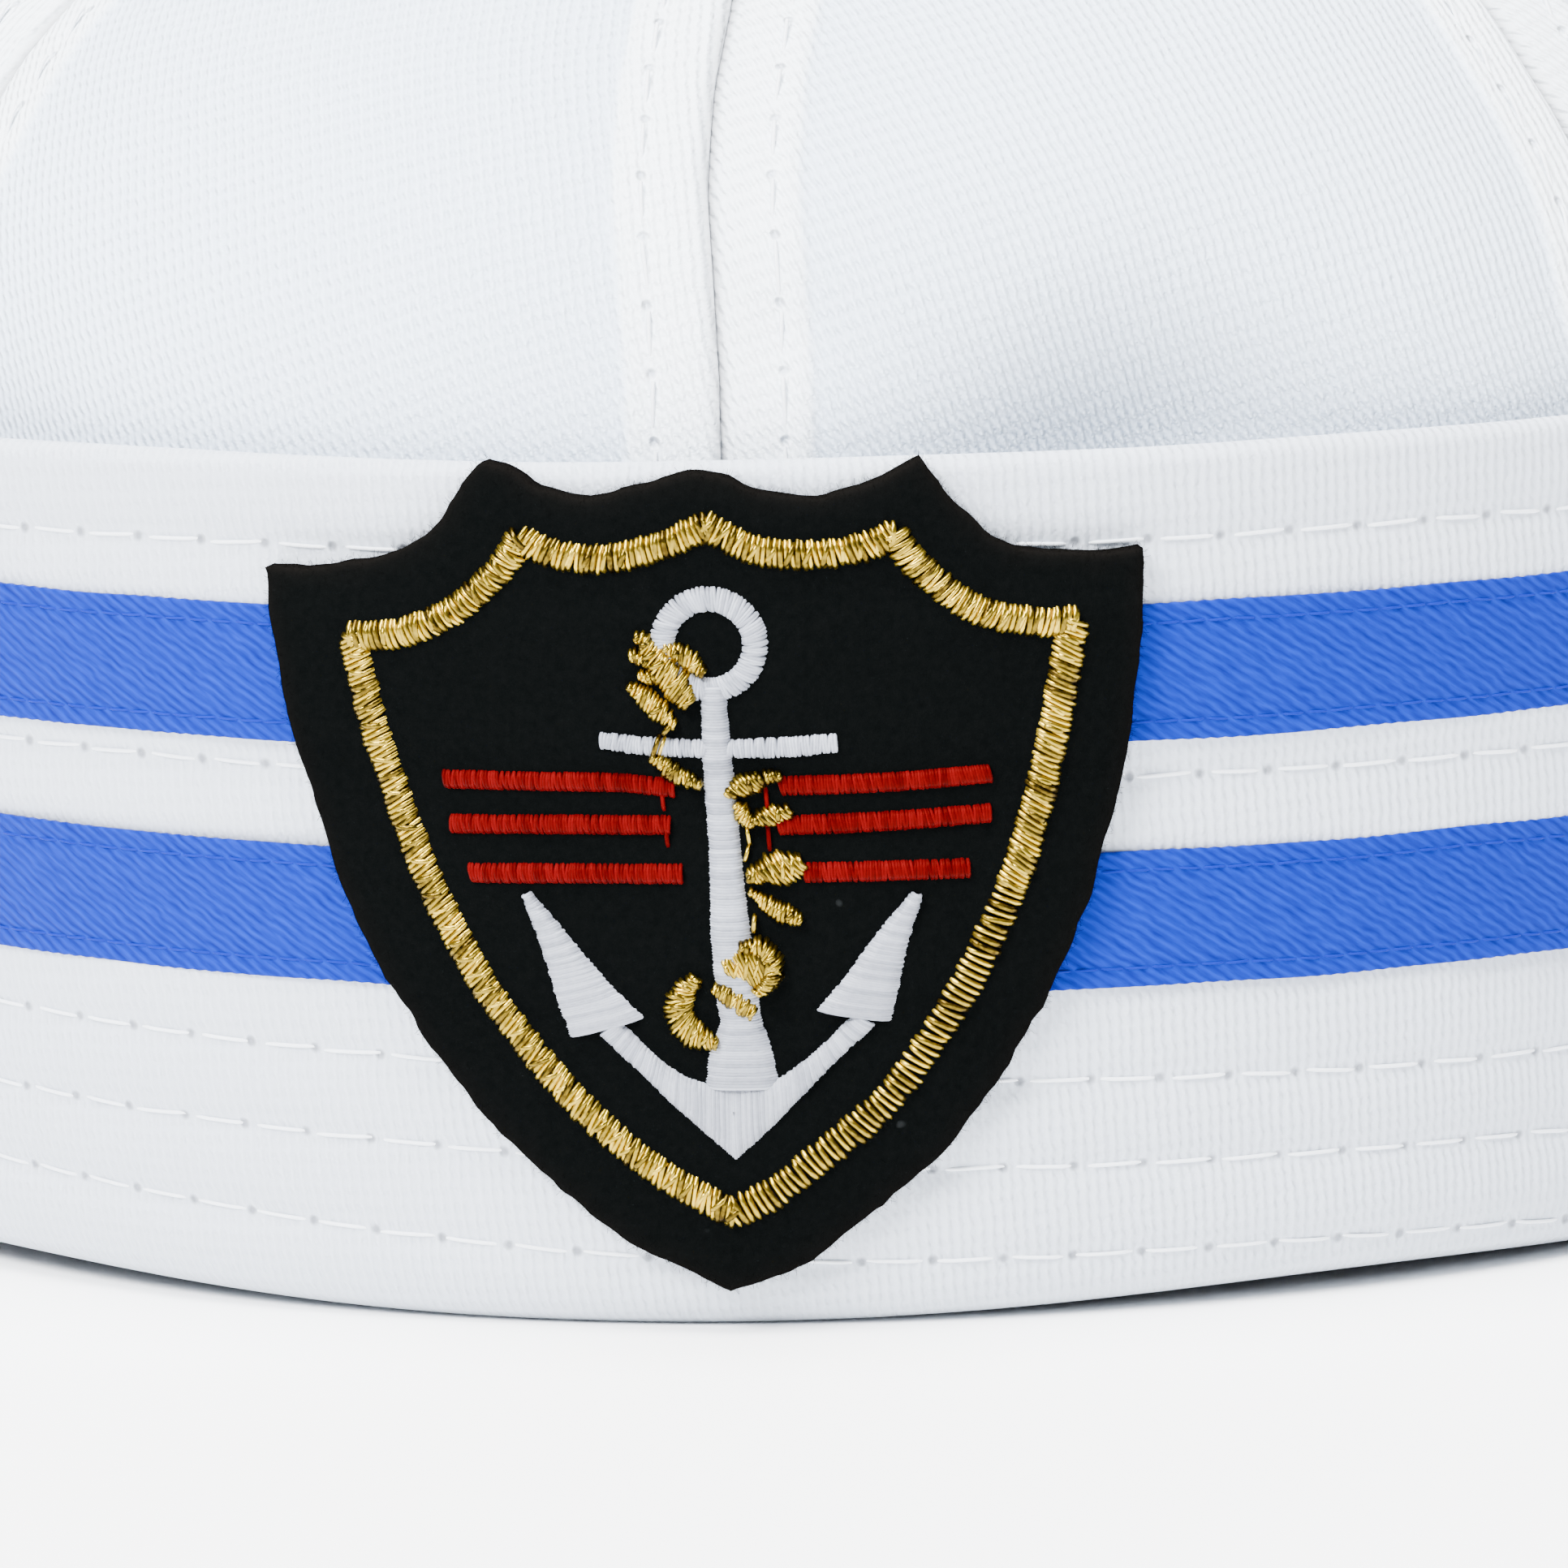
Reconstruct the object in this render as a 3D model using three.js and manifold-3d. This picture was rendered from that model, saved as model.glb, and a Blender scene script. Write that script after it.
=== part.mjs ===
// Captain hat: a soft white cotton cap with an eight gore crown and a stiff turned-up brim.
// Millimetres, +Z up, the front faces -Y. The origin is on the ground, under the middle of the hat.
import * as THREE from 'three';
import { mergeVertices } from 'three/addons/utils/BufferGeometryUtils.js';
import Module from 'manifold-3d';

const wasm = await Module();
wasm.setup();

// Head opening and cloth
const headWidth = 176;
const headLength = 190;
const crownWall = 1.2;
const brimWall = 2.4;
const clearance = 0.3; // between pieces that touch on the real hat

// Turned-up brim
const brimHeight = 64; // along the slope
const brimFlare = THREE.MathUtils.degToRad(5);
const foldThickness = 2; // of the cloth fold that the hat rests on
const gutter = 1.2; // between the foot of the crown and the brim
const brimRollHeight = 7; // where the outer face starts to curl under
const brimRollDepth = 2.5;

// Crown
const goreCount = 8;
const crownLean = 3.8; // how far the side leans out up to the shoulder
const shoulderHeight = 60;
const domeRise = 52; // from the shoulder to the point where the gores meet
const domeFullness = 0.93; // 1 is an ellipse, less is fuller
const gorePuff = 2.2; // how far a gore swells between its seams
const seamBand = 7.5; // width of the pressed-open allowance at each side of a seam
const seamBandRise = 0.45;
const tipRadius = 0.6; // of the pinhole where the gores meet
const deepestDent = 6; // where the soft cloth is pushed in over the edge of the brim

// Ribbons
const ribbonWidth = 10;
const ribbonThickness = 1;
const upperRibbonDrop = 15.8; // middle of the upper ribbon below the brim's edge
const ribbonPitch = 18; // between the middles of the two ribbons

// Patch and its border, all heights along the slope of the brim
const patchCentre = -0.7; // the badge is sewn a little to the left of the front seam
const feltThickness = 1.4; // where it lies over a ribbon
const patchHalfWidth = 30.7;
const patchTip = 3.4; // above the ground
const patchPeakDrop = 0.1; // of its peaks below the brim's edge
const borderWidth = 2.5;
const borderSideInset = 5.7; // middle of the border in from the felt's edge
const borderTipInset = 6.1;
const borderPeakInset = 3.9;
const stitchRelief = 0.9; // height of the satin stitch

// Anchor, bars and rope
const anchorRingRadius = 4.2;
const anchorRingHole = 2.4;
const anchorTopInset = 4.6; // top of the ring below the border's middle line
const anchorFootInset = 3.9; // foot above the border's tip
const anchorStockDrop = 7.3; // below the middle of the ring
const anchorStockLength = 16.6;
const anchorStockWidth = 1.6;
const anchorSpread = 27.6; // between the points of the flukes
const anchorFlukeHeight = 19.4; // of the points of the flukes above the foot
const shankTopWidth = 1.6;
const shankFootWidth = 4.6;
const barThickness = 1.5;
const barInset = 3.4; // from the middle line to the inner end of a bar
const ropeWidth = 2;

// Resolution of the faceted solids
const aroundSteps = 60;
const slabStep = 5;
const curveDivisions = 7;

const seatOfCrown = foldThickness + clearance;
const brimFoot = crownWall + gutter + brimWall; // from the head opening to the outer face, on the ground
const crownTop = shoulderHeight + domeRise;
const upperRibbonHeight = brimHeight - upperRibbonDrop;
const lowerRibbonHeight = upperRibbonHeight - ribbonPitch;
const patchPeak = brimHeight - patchPeakDrop;
const borderHalfWidth = patchHalfWidth - borderSideInset;
const borderTip = patchTip + borderTipInset;
const borderPeak = patchPeak - borderPeakInset;
const anchorFoot = borderTip + anchorFootInset;
const anchorTop = borderPeak - anchorTopInset;
const anchorRingHeight = anchorTop - anchorRingRadius;
const anchorStockHeight = anchorRingHeight - anchorStockDrop;
const feltFace = clearance + ribbonThickness + clearance + feltThickness;
const stitchBack = feltFace + clearance;
const stitchFace = stitchBack + stitchRelief;

const cotton = { color: 0xe9ebee, roughness: 0.9, metalness: 0 };
const cottonBrim = { color: 0xe2e4e8, roughness: 0.9, metalness: 0 };
const satin = { color: 0x4272dc, roughness: 0.45, metalness: 0 };
const felt = { color: 0x121414, roughness: 1, metalness: 0 };
const goldThread = { color: 0xc8a550, roughness: 0.4, metalness: 0.8 };
const whiteThread = { color: 0xeff1f4, roughness: 0.6, metalness: 0 };
const redThread = { color: 0xb90f0c, roughness: 0.6, metalness: 0 };

const hat = new THREE.Group();

function addPiece(name, geometry, look) {
  const piece = new THREE.Mesh(geometry, new THREE.MeshStandardMaterial(look));
  piece.name = name;
  hat.add(piece);
}

// A point of the head oval moved outwards. Azimuth 0 is the front, +X is at a quarter turn.
function ovalPoint(azimuth, out) {
  const across = headWidth / 2;
  const along = headLength / 2;
  const point = new THREE.Vector2(across * Math.sin(azimuth), -along * Math.cos(azimuth));
  const normal = new THREE.Vector2(along * Math.sin(azimuth), -across * Math.cos(azimuth));
  return point.addScaledVector(normal.normalize(), out);
}

// A point over the outer face of the brim: height runs up the slope, off is the distance from the face.
function brimPoint(azimuth, height, off) {
  const out = brimFoot + height * Math.sin(brimFlare) + off * Math.cos(brimFlare);
  const plan = ovalPoint(azimuth, out);
  return new THREE.Vector3(plan.x, plan.y, height * Math.cos(brimFlare) - off * Math.sin(brimFlare));
}

// The azimuth at a distance round the brim from the front, measured on the middle of the felt.
function azimuthAt(distance) {
  const step = 0.002;
  const out = brimFoot + (brimHeight / 2) * Math.sin(brimFlare) + feltFace;
  let azimuth = 0;
  let left = Math.abs(distance);
  let from = ovalPoint(0, out);
  while (left > 0) {
    const to = ovalPoint(azimuth + step, out);
    const length = to.distanceTo(from);
    azimuth += step * Math.min(1, left / length);
    left -= length;
    from = to;
  }
  return Math.sign(distance) * azimuth;
}

// Closed mesh from a grid of points that runs round and closes on itself in both directions.
function closedLoopGeometry(sections) {
  const positions = sections.flat().flatMap((point) => point.toArray());
  const perSection = sections[0].length;
  const index = [];
  sections.forEach((section, i) => {
    const next = (i + 1) % sections.length;
    for (let j = 0; j < perSection; j++) {
      const after = (j + 1) % perSection;
      const a = i * perSection + j;
      const b = next * perSection + j;
      const c = next * perSection + after;
      const d = i * perSection + after;
      index.push(a, b, c, a, c, d);
    }
  });
  return geometryFrom(positions, index);
}

// Closed mesh from an outer and an inner grid of points, with walls along the four edges.
function shellGeometry(outer, inner) {
  const rows = outer.length;
  const columns = outer[0].length;
  const positions = [...outer.flat(), ...inner.flat()].flatMap((point) => point.toArray());
  const outerAt = (row, column) => row * columns + column;
  const innerAt = (row, column) => rows * columns + row * columns + column;
  const index = [];
  const quad = (a, b, c, d) => index.push(a, b, c, a, c, d);
  const lastRow = rows - 1;
  const lastColumn = columns - 1;
  for (let row = 0; row < lastRow; row++) {
    const up = row + 1;
    for (let column = 0; column < lastColumn; column++) {
      const next = column + 1;
      quad(outerAt(row, column), outerAt(row, next), outerAt(up, next), outerAt(up, column));
      quad(innerAt(row, column), innerAt(up, column), innerAt(up, next), innerAt(row, next));
    }
    quad(outerAt(row, 0), outerAt(up, 0), innerAt(up, 0), innerAt(row, 0));
    const edge = lastColumn;
    quad(outerAt(row, edge), innerAt(row, edge), innerAt(up, edge), outerAt(up, edge));
  }
  for (let column = 0; column < lastColumn; column++) {
    const next = column + 1;
    quad(outerAt(0, column), innerAt(0, column), innerAt(0, next), outerAt(0, next));
    quad(outerAt(lastRow, column), outerAt(lastRow, next), innerAt(lastRow, next), innerAt(lastRow, column));
  }
  return geometryFrom(positions, index);
}

function geometryFrom(positions, index) {
  const geometry = new THREE.BufferGeometry();
  geometry.setAttribute('position', new THREE.Float32BufferAttribute(positions, 3));
  geometry.setIndex(index);
  return geometry;
}

function solidFrom(geometry) {
  geometry.deleteAttribute('normal');
  geometry.deleteAttribute('uv');
  const merged = mergeVertices(geometry);
  const mesh = new wasm.Mesh({
    numProp: 3,
    vertProperties: Float32Array.from(merged.getAttribute('position').array),
    triVerts: Uint32Array.from(merged.getIndex().array),
  });
  return new wasm.Manifold(mesh);
}

function geometryOf(solid) {
  const mesh = solid.getMesh();
  return geometryFrom(Array.from(mesh.vertProperties), Array.from(mesh.triVerts));
}

// Brim: its section is a doubled cloth wall with a rounded top edge, standing on a fold.
function brimSection() {
  const slope = Math.tan(brimFlare);
  const top = brimHeight * Math.cos(brimFlare);
  const capRadius = brimWall / 2;
  const faceAt = (z) => brimFoot + z * slope;
  const section = [
    [0, foldThickness],
    [0, 0],
  ];
  const rollSteps = 4;
  for (let i = 0; i <= rollSteps; i++) {
    const angle = (i / rollSteps) * (Math.PI / 2);
    const reach = faceAt(brimRollHeight) - (brimFoot - brimRollDepth);
    section.push([
      brimFoot - brimRollDepth + reach * Math.sin(angle),
      brimRollHeight * (1 - Math.cos(angle)),
    ]);
  }
  const capSteps = 4;
  for (let i = 0; i <= capSteps; i++) {
    const angle = (i / capSteps) * Math.PI;
    const centreHeight = top - capRadius;
    section.push([
      faceAt(centreHeight) - capRadius + capRadius * Math.cos(angle),
      centreHeight + capRadius * Math.sin(angle),
    ]);
  }
  section.push([faceAt(foldThickness) - brimWall, foldThickness]);
  return section;
}

function buildBrim() {
  const section = brimSection();
  const sections = [];
  for (let i = 0; i < aroundSteps; i++) {
    const azimuth = (i / aroundSteps) * 2 * Math.PI;
    sections.push(section.map(([out, z]) => {
      const plan = ovalPoint(azimuth, out);
      return new THREE.Vector3(plan.x, plan.y, z);
    }));
  }
  addPiece('brim', closedLoopGeometry(sections), cottonBrim);
}

// A flat band round the brim, grown by a margin on every side where it is used as a cutter.
function ribbonGeometry(middle, margin) {
  const low = middle - ribbonWidth / 2 - margin;
  const high = middle + ribbonWidth / 2 + margin;
  const back = clearance - margin;
  const face = clearance + ribbonThickness + margin;
  const sections = [];
  for (let i = 0; i < aroundSteps; i++) {
    const azimuth = (i / aroundSteps) * 2 * Math.PI;
    sections.push([
      brimPoint(azimuth, low, back),
      brimPoint(azimuth, low, face),
      brimPoint(azimuth, high, face),
      brimPoint(azimuth, high, back),
    ]);
  }
  return closedLoopGeometry(sections);
}

function buildRibbons() {
  addPiece('ribbon_upper', ribbonGeometry(upperRibbonHeight, 0), satin);
  addPiece('ribbon_lower', ribbonGeometry(lowerRibbonHeight, 0), satin);
}

// Places where the soft crown is pushed in. Azimuth is in degrees, width and tall are half sizes
// as shares of a gore at the shoulder and of the dome's rise, height is a share of the crown's height
// and depth a share of the deepest dent.
const crownDents = [
  { azimuth: 19, height: 0.55, width: 0.2, tall: 0.28, depth: 1 },
  { azimuth: 68, height: 0.56, width: 0.3, tall: 0.3, depth: 0.67 },
  { azimuth: -45, height: 0.55, width: 0.24, tall: 0.24, depth: 0.42 },
  { azimuth: 128, height: 0.57, width: 0.3, tall: 0.3, depth: 0.58 },
  { azimuth: -110, height: 0.56, width: 0.3, tall: 0.3, depth: 0.67 },
  { azimuth: -160, height: 0.57, width: 0.26, tall: 0.28, depth: 0.5 },
];

const goreAngle = (2 * Math.PI) / goreCount;

function smoothStep(low, high, value) {
  return THREE.MathUtils.smoothstep(value, low, high);
}

// How far the crown is pushed in at an azimuth and a height.
function dentDepth(azimuth, z) {
  const goreWidth = goreAngle * (headWidth / 2 + crownWall + crownLean);
  let depth = 0;
  for (const dent of crownDents) {
    const turn = Math.atan2(
      Math.sin(azimuth - THREE.MathUtils.degToRad(dent.azimuth)),
      Math.cos(azimuth - THREE.MathUtils.degToRad(dent.azimuth)),
    );
    const aside = (turn * headWidth) / 2 / (dent.width * goreWidth);
    const above = (z - dent.height * crownTop) / (dent.tall * domeRise);
    depth += deepestDent * dent.depth * Math.exp(-(aside ** 2) - above ** 2);
  }
  return depth;
}

// The crown's outer face. Share 0 is the foot, sideShare is the shoulder and 1 is the top.
const sideShare = 0.35;

function crownPlain(azimuth, share) {
  if (share <= sideShare) {
    const rise = share / sideShare;
    const z = THREE.MathUtils.lerp(seatOfCrown, shoulderHeight, rise);
    const plan = ovalPoint(azimuth, crownWall + crownLean * rise);
    return { plan, z, dome: 0 };
  }
  const angle = ((share - sideShare) / (1 - sideShare)) * (Math.PI / 2);
  const plan = ovalPoint(azimuth, crownWall + crownLean);
  plan.multiplyScalar(Math.max(Math.cos(angle), 0) ** domeFullness);
  return { plan, z: shoulderHeight + domeRise * Math.sin(angle), dome: angle };
}

// The same face with the swell of each gore, the seam bands and the dents.
function crownPoint(azimuth, share, seamDistance, along) {
  const { plan, z, dome } = crownPlain(azimuth, share);
  const radius = plan.length();
  const goreHalf = (radius * goreAngle) / 2;
  const hidden = 0.5 * sideShare; // up to here the brim covers the side, and it stays plain
  const fullness = smoothStep(hidden, sideShare + 0.2, share) * smoothStep(0, headWidth / 4, radius);
  const puff = gorePuff * fullness * Math.sin(Math.PI * along);
  const band = seamBandRise * (1 - smoothStep(seamBand - 0.6, seamBand, seamDistance));
  const bandFade = smoothStep(0, seamBand, goreHalf - seamBand) * smoothStep(hidden, sideShare, share);
  const lift = puff + band * bandFade;
  const outward = plan.clone().normalize();
  const dent = dentDepth(azimuth, z) * Math.cos(dome);
  const point = new THREE.Vector3(plan.x, plan.y, z);
  point.x += outward.x * (lift * Math.cos(dome) - dent);
  point.y += outward.y * (lift * Math.cos(dome) - dent);
  point.z += lift * Math.sin(dome);
  return point;
}

function buildGore(number) {
  const halfGap = clearance / 2;
  const start = number * goreAngle;
  const shares = [0, 0.12, 0.24, 0.31, 0.35, 0.39, 0.43, 0.48, 0.54, 0.6, 0.67, 0.74, 0.81, 0.88, 0.94];
  const bands = [0, 0.1, 0.115, 0.25, 0.42, 0.58, 0.75, 0.885, 0.9, 1];
  const radiusAt = (share) => crownPlain(start, share).plan.length();
  let tipShare = shares.at(-1);
  while (radiusAt(tipShare + 0.001) > tipRadius) {
    tipShare += 0.001;
  }
  const outer = [];
  const inner = [];
  for (const share of [...shares, tipShare]) {
    const radius = radiusAt(share);
    const trim = Math.asin(Math.min(1, halfGap / radius));
    const span = goreAngle - 2 * trim;
    const outerRow = [];
    const innerRow = [];
    for (const along of bands) {
      const azimuth = start + trim + span * along;
      const seamDistance = radius * goreAngle * Math.min(along, 1 - along);
      const point = crownPoint(azimuth, share, seamDistance, along);
      const { dome } = crownPlain(azimuth, share);
      const plan = new THREE.Vector2(point.x, point.y);
      const sunk = plan.clone().setLength(Math.max(plan.length() - crownWall * Math.cos(dome), tipRadius));
      outerRow.push(point);
      innerRow.push(new THREE.Vector3(sunk.x, sunk.y, point.z - crownWall * Math.sin(dome)));
    }
    outer.push(outerRow);
    inner.push(innerRow);
  }
  addPiece(`gore_${number + 1}`, shellGeometry(outer, inner), cotton);
}

// A shield drawn on the brim: x runs round it from the badge's middle, y up the slope.
// The corners, the swoop of the shoulders and the three peaks are shares of its width and height.
function shieldPath(halfWidth, tip, peak, roundness) {
  const height = peak - tip;
  const at = (across, up) => new THREE.Vector2(across * halfWidth, tip + up * height);
  const corner = 0.85 + roundness;
  const path = new THREE.Path();
  path.moveTo(...at(0, 0));
  path.bezierCurveTo(...at(0.7, 0.2), ...at(0.9, 0.53), ...at(1, corner));
  path.bezierCurveTo(...at(0.8, corner), ...at(0.62, 0.88), ...at(0.53, 0.985));
  path.bezierCurveTo(...at(0.38, 0.94), ...at(0.16, 0.93), ...at(0, 1));
  path.bezierCurveTo(...at(-0.16, 0.93), ...at(-0.38, 0.94), ...at(-0.53, 0.985));
  path.bezierCurveTo(...at(-0.62, 0.88), ...at(-0.8, corner), ...at(-1, corner));
  path.bezierCurveTo(...at(-0.9, 0.53), ...at(-0.7, 0.2), ...at(0, 0));
  return path;
}

function pathPoints(path, divisions) {
  const points = path.getPoints(divisions);
  points.pop();
  return points;
}

// The outline moved sideways by a distance, with blunt corners. Positive is outwards.
function movedOutline(points, distance) {
  const bluntest = 1.6;
  return points.map((point, i) => {
    const before = points[(i + points.length - 1) % points.length];
    const after = points[(i + 1) % points.length];
    const incoming = point.clone().sub(before).normalize();
    const outgoing = after.clone().sub(point).normalize();
    const normal = new THREE.Vector2(incoming.y + outgoing.y, -incoming.x - outgoing.x).normalize();
    const sharpness = normal.dot(new THREE.Vector2(incoming.y, -incoming.x));
    return point.clone().addScaledVector(normal, distance * Math.min(1 / Math.max(sharpness, 0.1), bluntest));
  });
}

// A block that stands across the brim's face with the outline as its section.
function outlineBlock(points, holes = []) {
  const shape = new THREE.Shape(points);
  holes.forEach((hole) => shape.holes.push(new THREE.Path(hole)));
  const depth = 26;
  const block = new THREE.ExtrudeGeometry(shape, { depth, bevelEnabled: false, steps: 1 });
  const position = block.getAttribute('position');
  for (let i = 0; i < position.count; i++) {
    const off = position.getZ(i) - depth / 2;
    const azimuth = azimuthAt(patchCentre + position.getX(i));
    const point = brimPoint(azimuth, position.getY(i), off);
    position.setXYZ(i, point.x, point.y, point.z);
  }
  return solidFrom(block);
}

// A curved slab over the front of the brim between two distances from its face.
function frontSlab(back, face, margin) {
  const reach = patchHalfWidth + margin;
  const columns = Math.ceil((2 * reach) / slabStep);
  const outer = [];
  const inner = [];
  for (const height of [-margin, brimHeight + margin]) {
    const outerRow = [];
    const innerRow = [];
    for (let i = 0; i <= columns; i++) {
      const azimuth = azimuthAt(patchCentre - reach + (2 * reach * i) / columns);
      outerRow.push(brimPoint(azimuth, height, face));
      innerRow.push(brimPoint(azimuth, height, back));
    }
    outer.push(outerRow);
    inner.push(innerRow);
  }
  return solidFrom(shellGeometry(outer, inner));
}

const slabMargin = 6;
const feltSlab = frontSlab(clearance, feltFace, slabMargin);
const stitchSlab = frontSlab(stitchBack, stitchFace, slabMargin);

function buildPatch() {
  const outline = pathPoints(shieldPath(patchHalfWidth, patchTip, patchPeak, 0.03), curveDivisions);
  const block = outlineBlock(outline);
  const channels = [upperRibbonHeight, lowerRibbonHeight].map((height) => (
    solidFrom(ribbonGeometry(height, clearance))
  ));
  const patch = feltSlab.intersect(block).subtract(channels[0]).subtract(channels[1]);
  addPiece('patch', geometryOf(patch), felt);
}

function buildBorder() {
  const middle = pathPoints(shieldPath(borderHalfWidth, borderTip, borderPeak, 0), curveDivisions);
  const outside = movedOutline(middle, borderWidth / 2);
  const inside = movedOutline(middle, -borderWidth / 2);
  addPiece('patch_border', geometryOf(stitchSlab.intersect(outlineBlock(outside, [inside]))), goldThread);
}

// Bits of gold rope that wind round the anchor, as strokes with round ends. Those by the ring are
// placed in ring radii from its middle. The others go across in shares of the anchor's spread
// and up in shares of the way from its foot to its stock. Width is a share of the rope's width.
const ropeBits = [
  { name: 'rope_ring', by: 'ring', from: [-1.12, 0.1], to: [-0.52, -1.1], width: 1.5 },
  { name: 'rope_tail', by: 'ring', from: [-1.5, -0.93], to: [-1, -1.5], width: 0.7 },
  { name: 'rope_turn_1', by: 'shank', from: [-0.141, 0.962], to: [-0.062, 0.925], width: 0.55 },
  { name: 'rope_turn_2', by: 'shank', from: [0.07, 0.895], to: [0.135, 0.93], width: 0.7 },
  { name: 'rope_turn_3', by: 'shank', from: [0.07, 0.833], to: [0.145, 0.8], width: 0.8 },
  { name: 'rope_turn_4', by: 'shank', from: [0.085, 0.715], to: [0.15, 0.682], width: 0.8 },
  { name: 'rope_turn_5', by: 'shank', from: [0.1, 0.633], to: [0.165, 0.577], width: 0.8 },
  { name: 'rope_loop', by: 'shank', from: [0.06, 0.508], to: [0.1, 0.439], width: 1.2 },
  { name: 'rope_cross', by: 'shank', from: [0.02, 0.387], to: [0.04, 0.357], width: 0.9 },
  { name: 'rope_end', by: 'shank', from: [-0.14, 0.426], to: [-0.09, 0.302], width: 0.8 },
];

function ropePlace(by, [across, up]) {
  if (by === 'ring') {
    return new THREE.Vector2(across * anchorRingRadius, anchorRingHeight + up * anchorRingRadius);
  }
  return new THREE.Vector2(across * anchorSpread, anchorFoot + up * (anchorStockHeight - anchorFoot));
}

// The outline of a straight stroke with round ends.
function strokeOutline(from, to, width, endSteps = 4) {
  const turn = Math.atan2(to.y - from.y, to.x - from.x);
  const points = [];
  for (const [centre, start] of [[to, turn - Math.PI / 2], [from, turn + Math.PI / 2]]) {
    for (let i = 0; i <= endSteps; i++) {
      const angle = start + (i / endSteps) * Math.PI;
      const arm = new THREE.Vector2(Math.cos(angle), Math.sin(angle)).multiplyScalar(width / 2);
      points.push(centre.clone().add(arm));
    }
  }
  return points;
}

function ropeBlock(bit, margin) {
  const width = bit.width * ropeWidth + 2 * margin;
  return outlineBlock(strokeOutline(ropePlace(bit.by, bit.from), ropePlace(bit.by, bit.to), width));
}

function buildRope() {
  for (const bit of ropeBits) {
    addPiece(bit.name, geometryOf(stitchSlab.intersect(ropeBlock(bit, 0))), goldThread);
  }
}

// The outline of the anchor's arms and flukes, with the widening foot of its shank.
function anchorArms() {
  const half = anchorSpread / 2;
  const at = (across, up) => new THREE.Vector2(across * half, anchorFoot + up * anchorFlukeHeight);
  const shankFoot = shankFootWidth / 2;
  const path = new THREE.Path();
  path.moveTo(...at(0, 0));
  path.quadraticCurveTo(...at(0.2, 0.19), ...at(0.65, 0.49));
  path.lineTo(...at(0.83, 0.49));
  path.lineTo(...at(1, 1));
  path.lineTo(...at(0.43, 0.56));
  path.lineTo(...at(0.55, 0.5));
  path.quadraticCurveTo(...at(0.4, 0.36), shankFoot, anchorFoot + 0.33 * anchorFlukeHeight);
  path.lineTo(-shankFoot, anchorFoot + 0.33 * anchorFlukeHeight);
  path.quadraticCurveTo(...at(-0.4, 0.36), ...at(-0.55, 0.5));
  path.lineTo(...at(-0.43, 0.56));
  path.lineTo(...at(-1, 1));
  path.lineTo(...at(-0.83, 0.49));
  path.lineTo(...at(-0.65, 0.49));
  path.quadraticCurveTo(...at(-0.2, 0.19), ...at(0, 0));
  return pathPoints(path, 4);
}

function circleOutline(height, radius, steps) {
  return Array.from({ length: steps }, (_, i) => {
    const angle = (i / steps) * 2 * Math.PI;
    return new THREE.Vector2(radius * Math.cos(angle), height + radius * Math.sin(angle));
  });
}

function buildAnchor() {
  const armsTop = anchorFoot + 0.25 * anchorFlukeHeight;
  const ringBottom = anchorRingHeight - (anchorRingRadius + anchorRingHole) / 2;
  const shank = [
    new THREE.Vector2(-shankFootWidth / 2, armsTop),
    new THREE.Vector2(shankFootWidth / 2, armsTop),
    new THREE.Vector2(shankTopWidth / 2, ringBottom),
    new THREE.Vector2(-shankTopWidth / 2, ringBottom),
  ];
  const stockReach = anchorStockLength / 2 - anchorStockWidth / 2;
  const stock = strokeOutline(
    new THREE.Vector2(-stockReach, anchorStockHeight),
    new THREE.Vector2(stockReach, anchorStockHeight),
    anchorStockWidth,
  );
  const ring = outlineBlock(
    circleOutline(anchorRingHeight, anchorRingRadius, 16),
    [circleOutline(anchorRingHeight, anchorRingHole, 12)],
  );
  let whole = ring.add(outlineBlock(shank)).add(outlineBlock(stock)).add(outlineBlock(anchorArms()));
  for (const bit of ropeBits) {
    whole = whole.subtract(ropeBlock(bit, clearance));
  }
  addPiece('anchor', geometryOf(stitchSlab.intersect(whole)), whiteThread);
}

// Bars beside the shank. Reach is a share of the border's half width at the outer end of the bar,
// up is a share of the way from the anchor's foot to its stock.
const barRows = [
  { name: 'top', reach: 0.75, up: 0.908 },
  { name: 'middle', reach: 0.74, up: 0.813 },
  { name: 'bottom', reach: 0.69, up: 0.697 },
];

function buildBars() {
  for (const row of barRows) {
    const height = anchorFoot + row.up * (anchorStockHeight - anchorFoot);
    for (const [side, direction] of [['left', -1], ['right', 1]]) {
      const inset = side === 'right' ? barInset + ropeWidth : barInset;
      const from = new THREE.Vector2(direction * (inset + barThickness / 2), height);
      const to = new THREE.Vector2(direction * row.reach * borderHalfWidth, height);
      const block = outlineBlock(strokeOutline(from, to, barThickness, 2));
      addPiece(`bar_${side}_${row.name}`, geometryOf(stitchSlab.intersect(block)), redThread);
    }
  }
}

buildBrim();
buildRibbons();
for (let number = 0; number < goreCount; number++) {
  buildGore(number);
}
buildPatch();
buildBorder();
buildRope();
buildAnchor();
buildBars();

// Centre the hat over its origin
const bounds = new THREE.Box3().setFromObject(hat);
hat.position.y = -(bounds.min.y + bounds.max.y) / 2;

export default hat;
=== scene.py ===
import math

import bpy
import numpy as np
from mathutils import Matrix, Vector, geometry, noise


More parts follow.
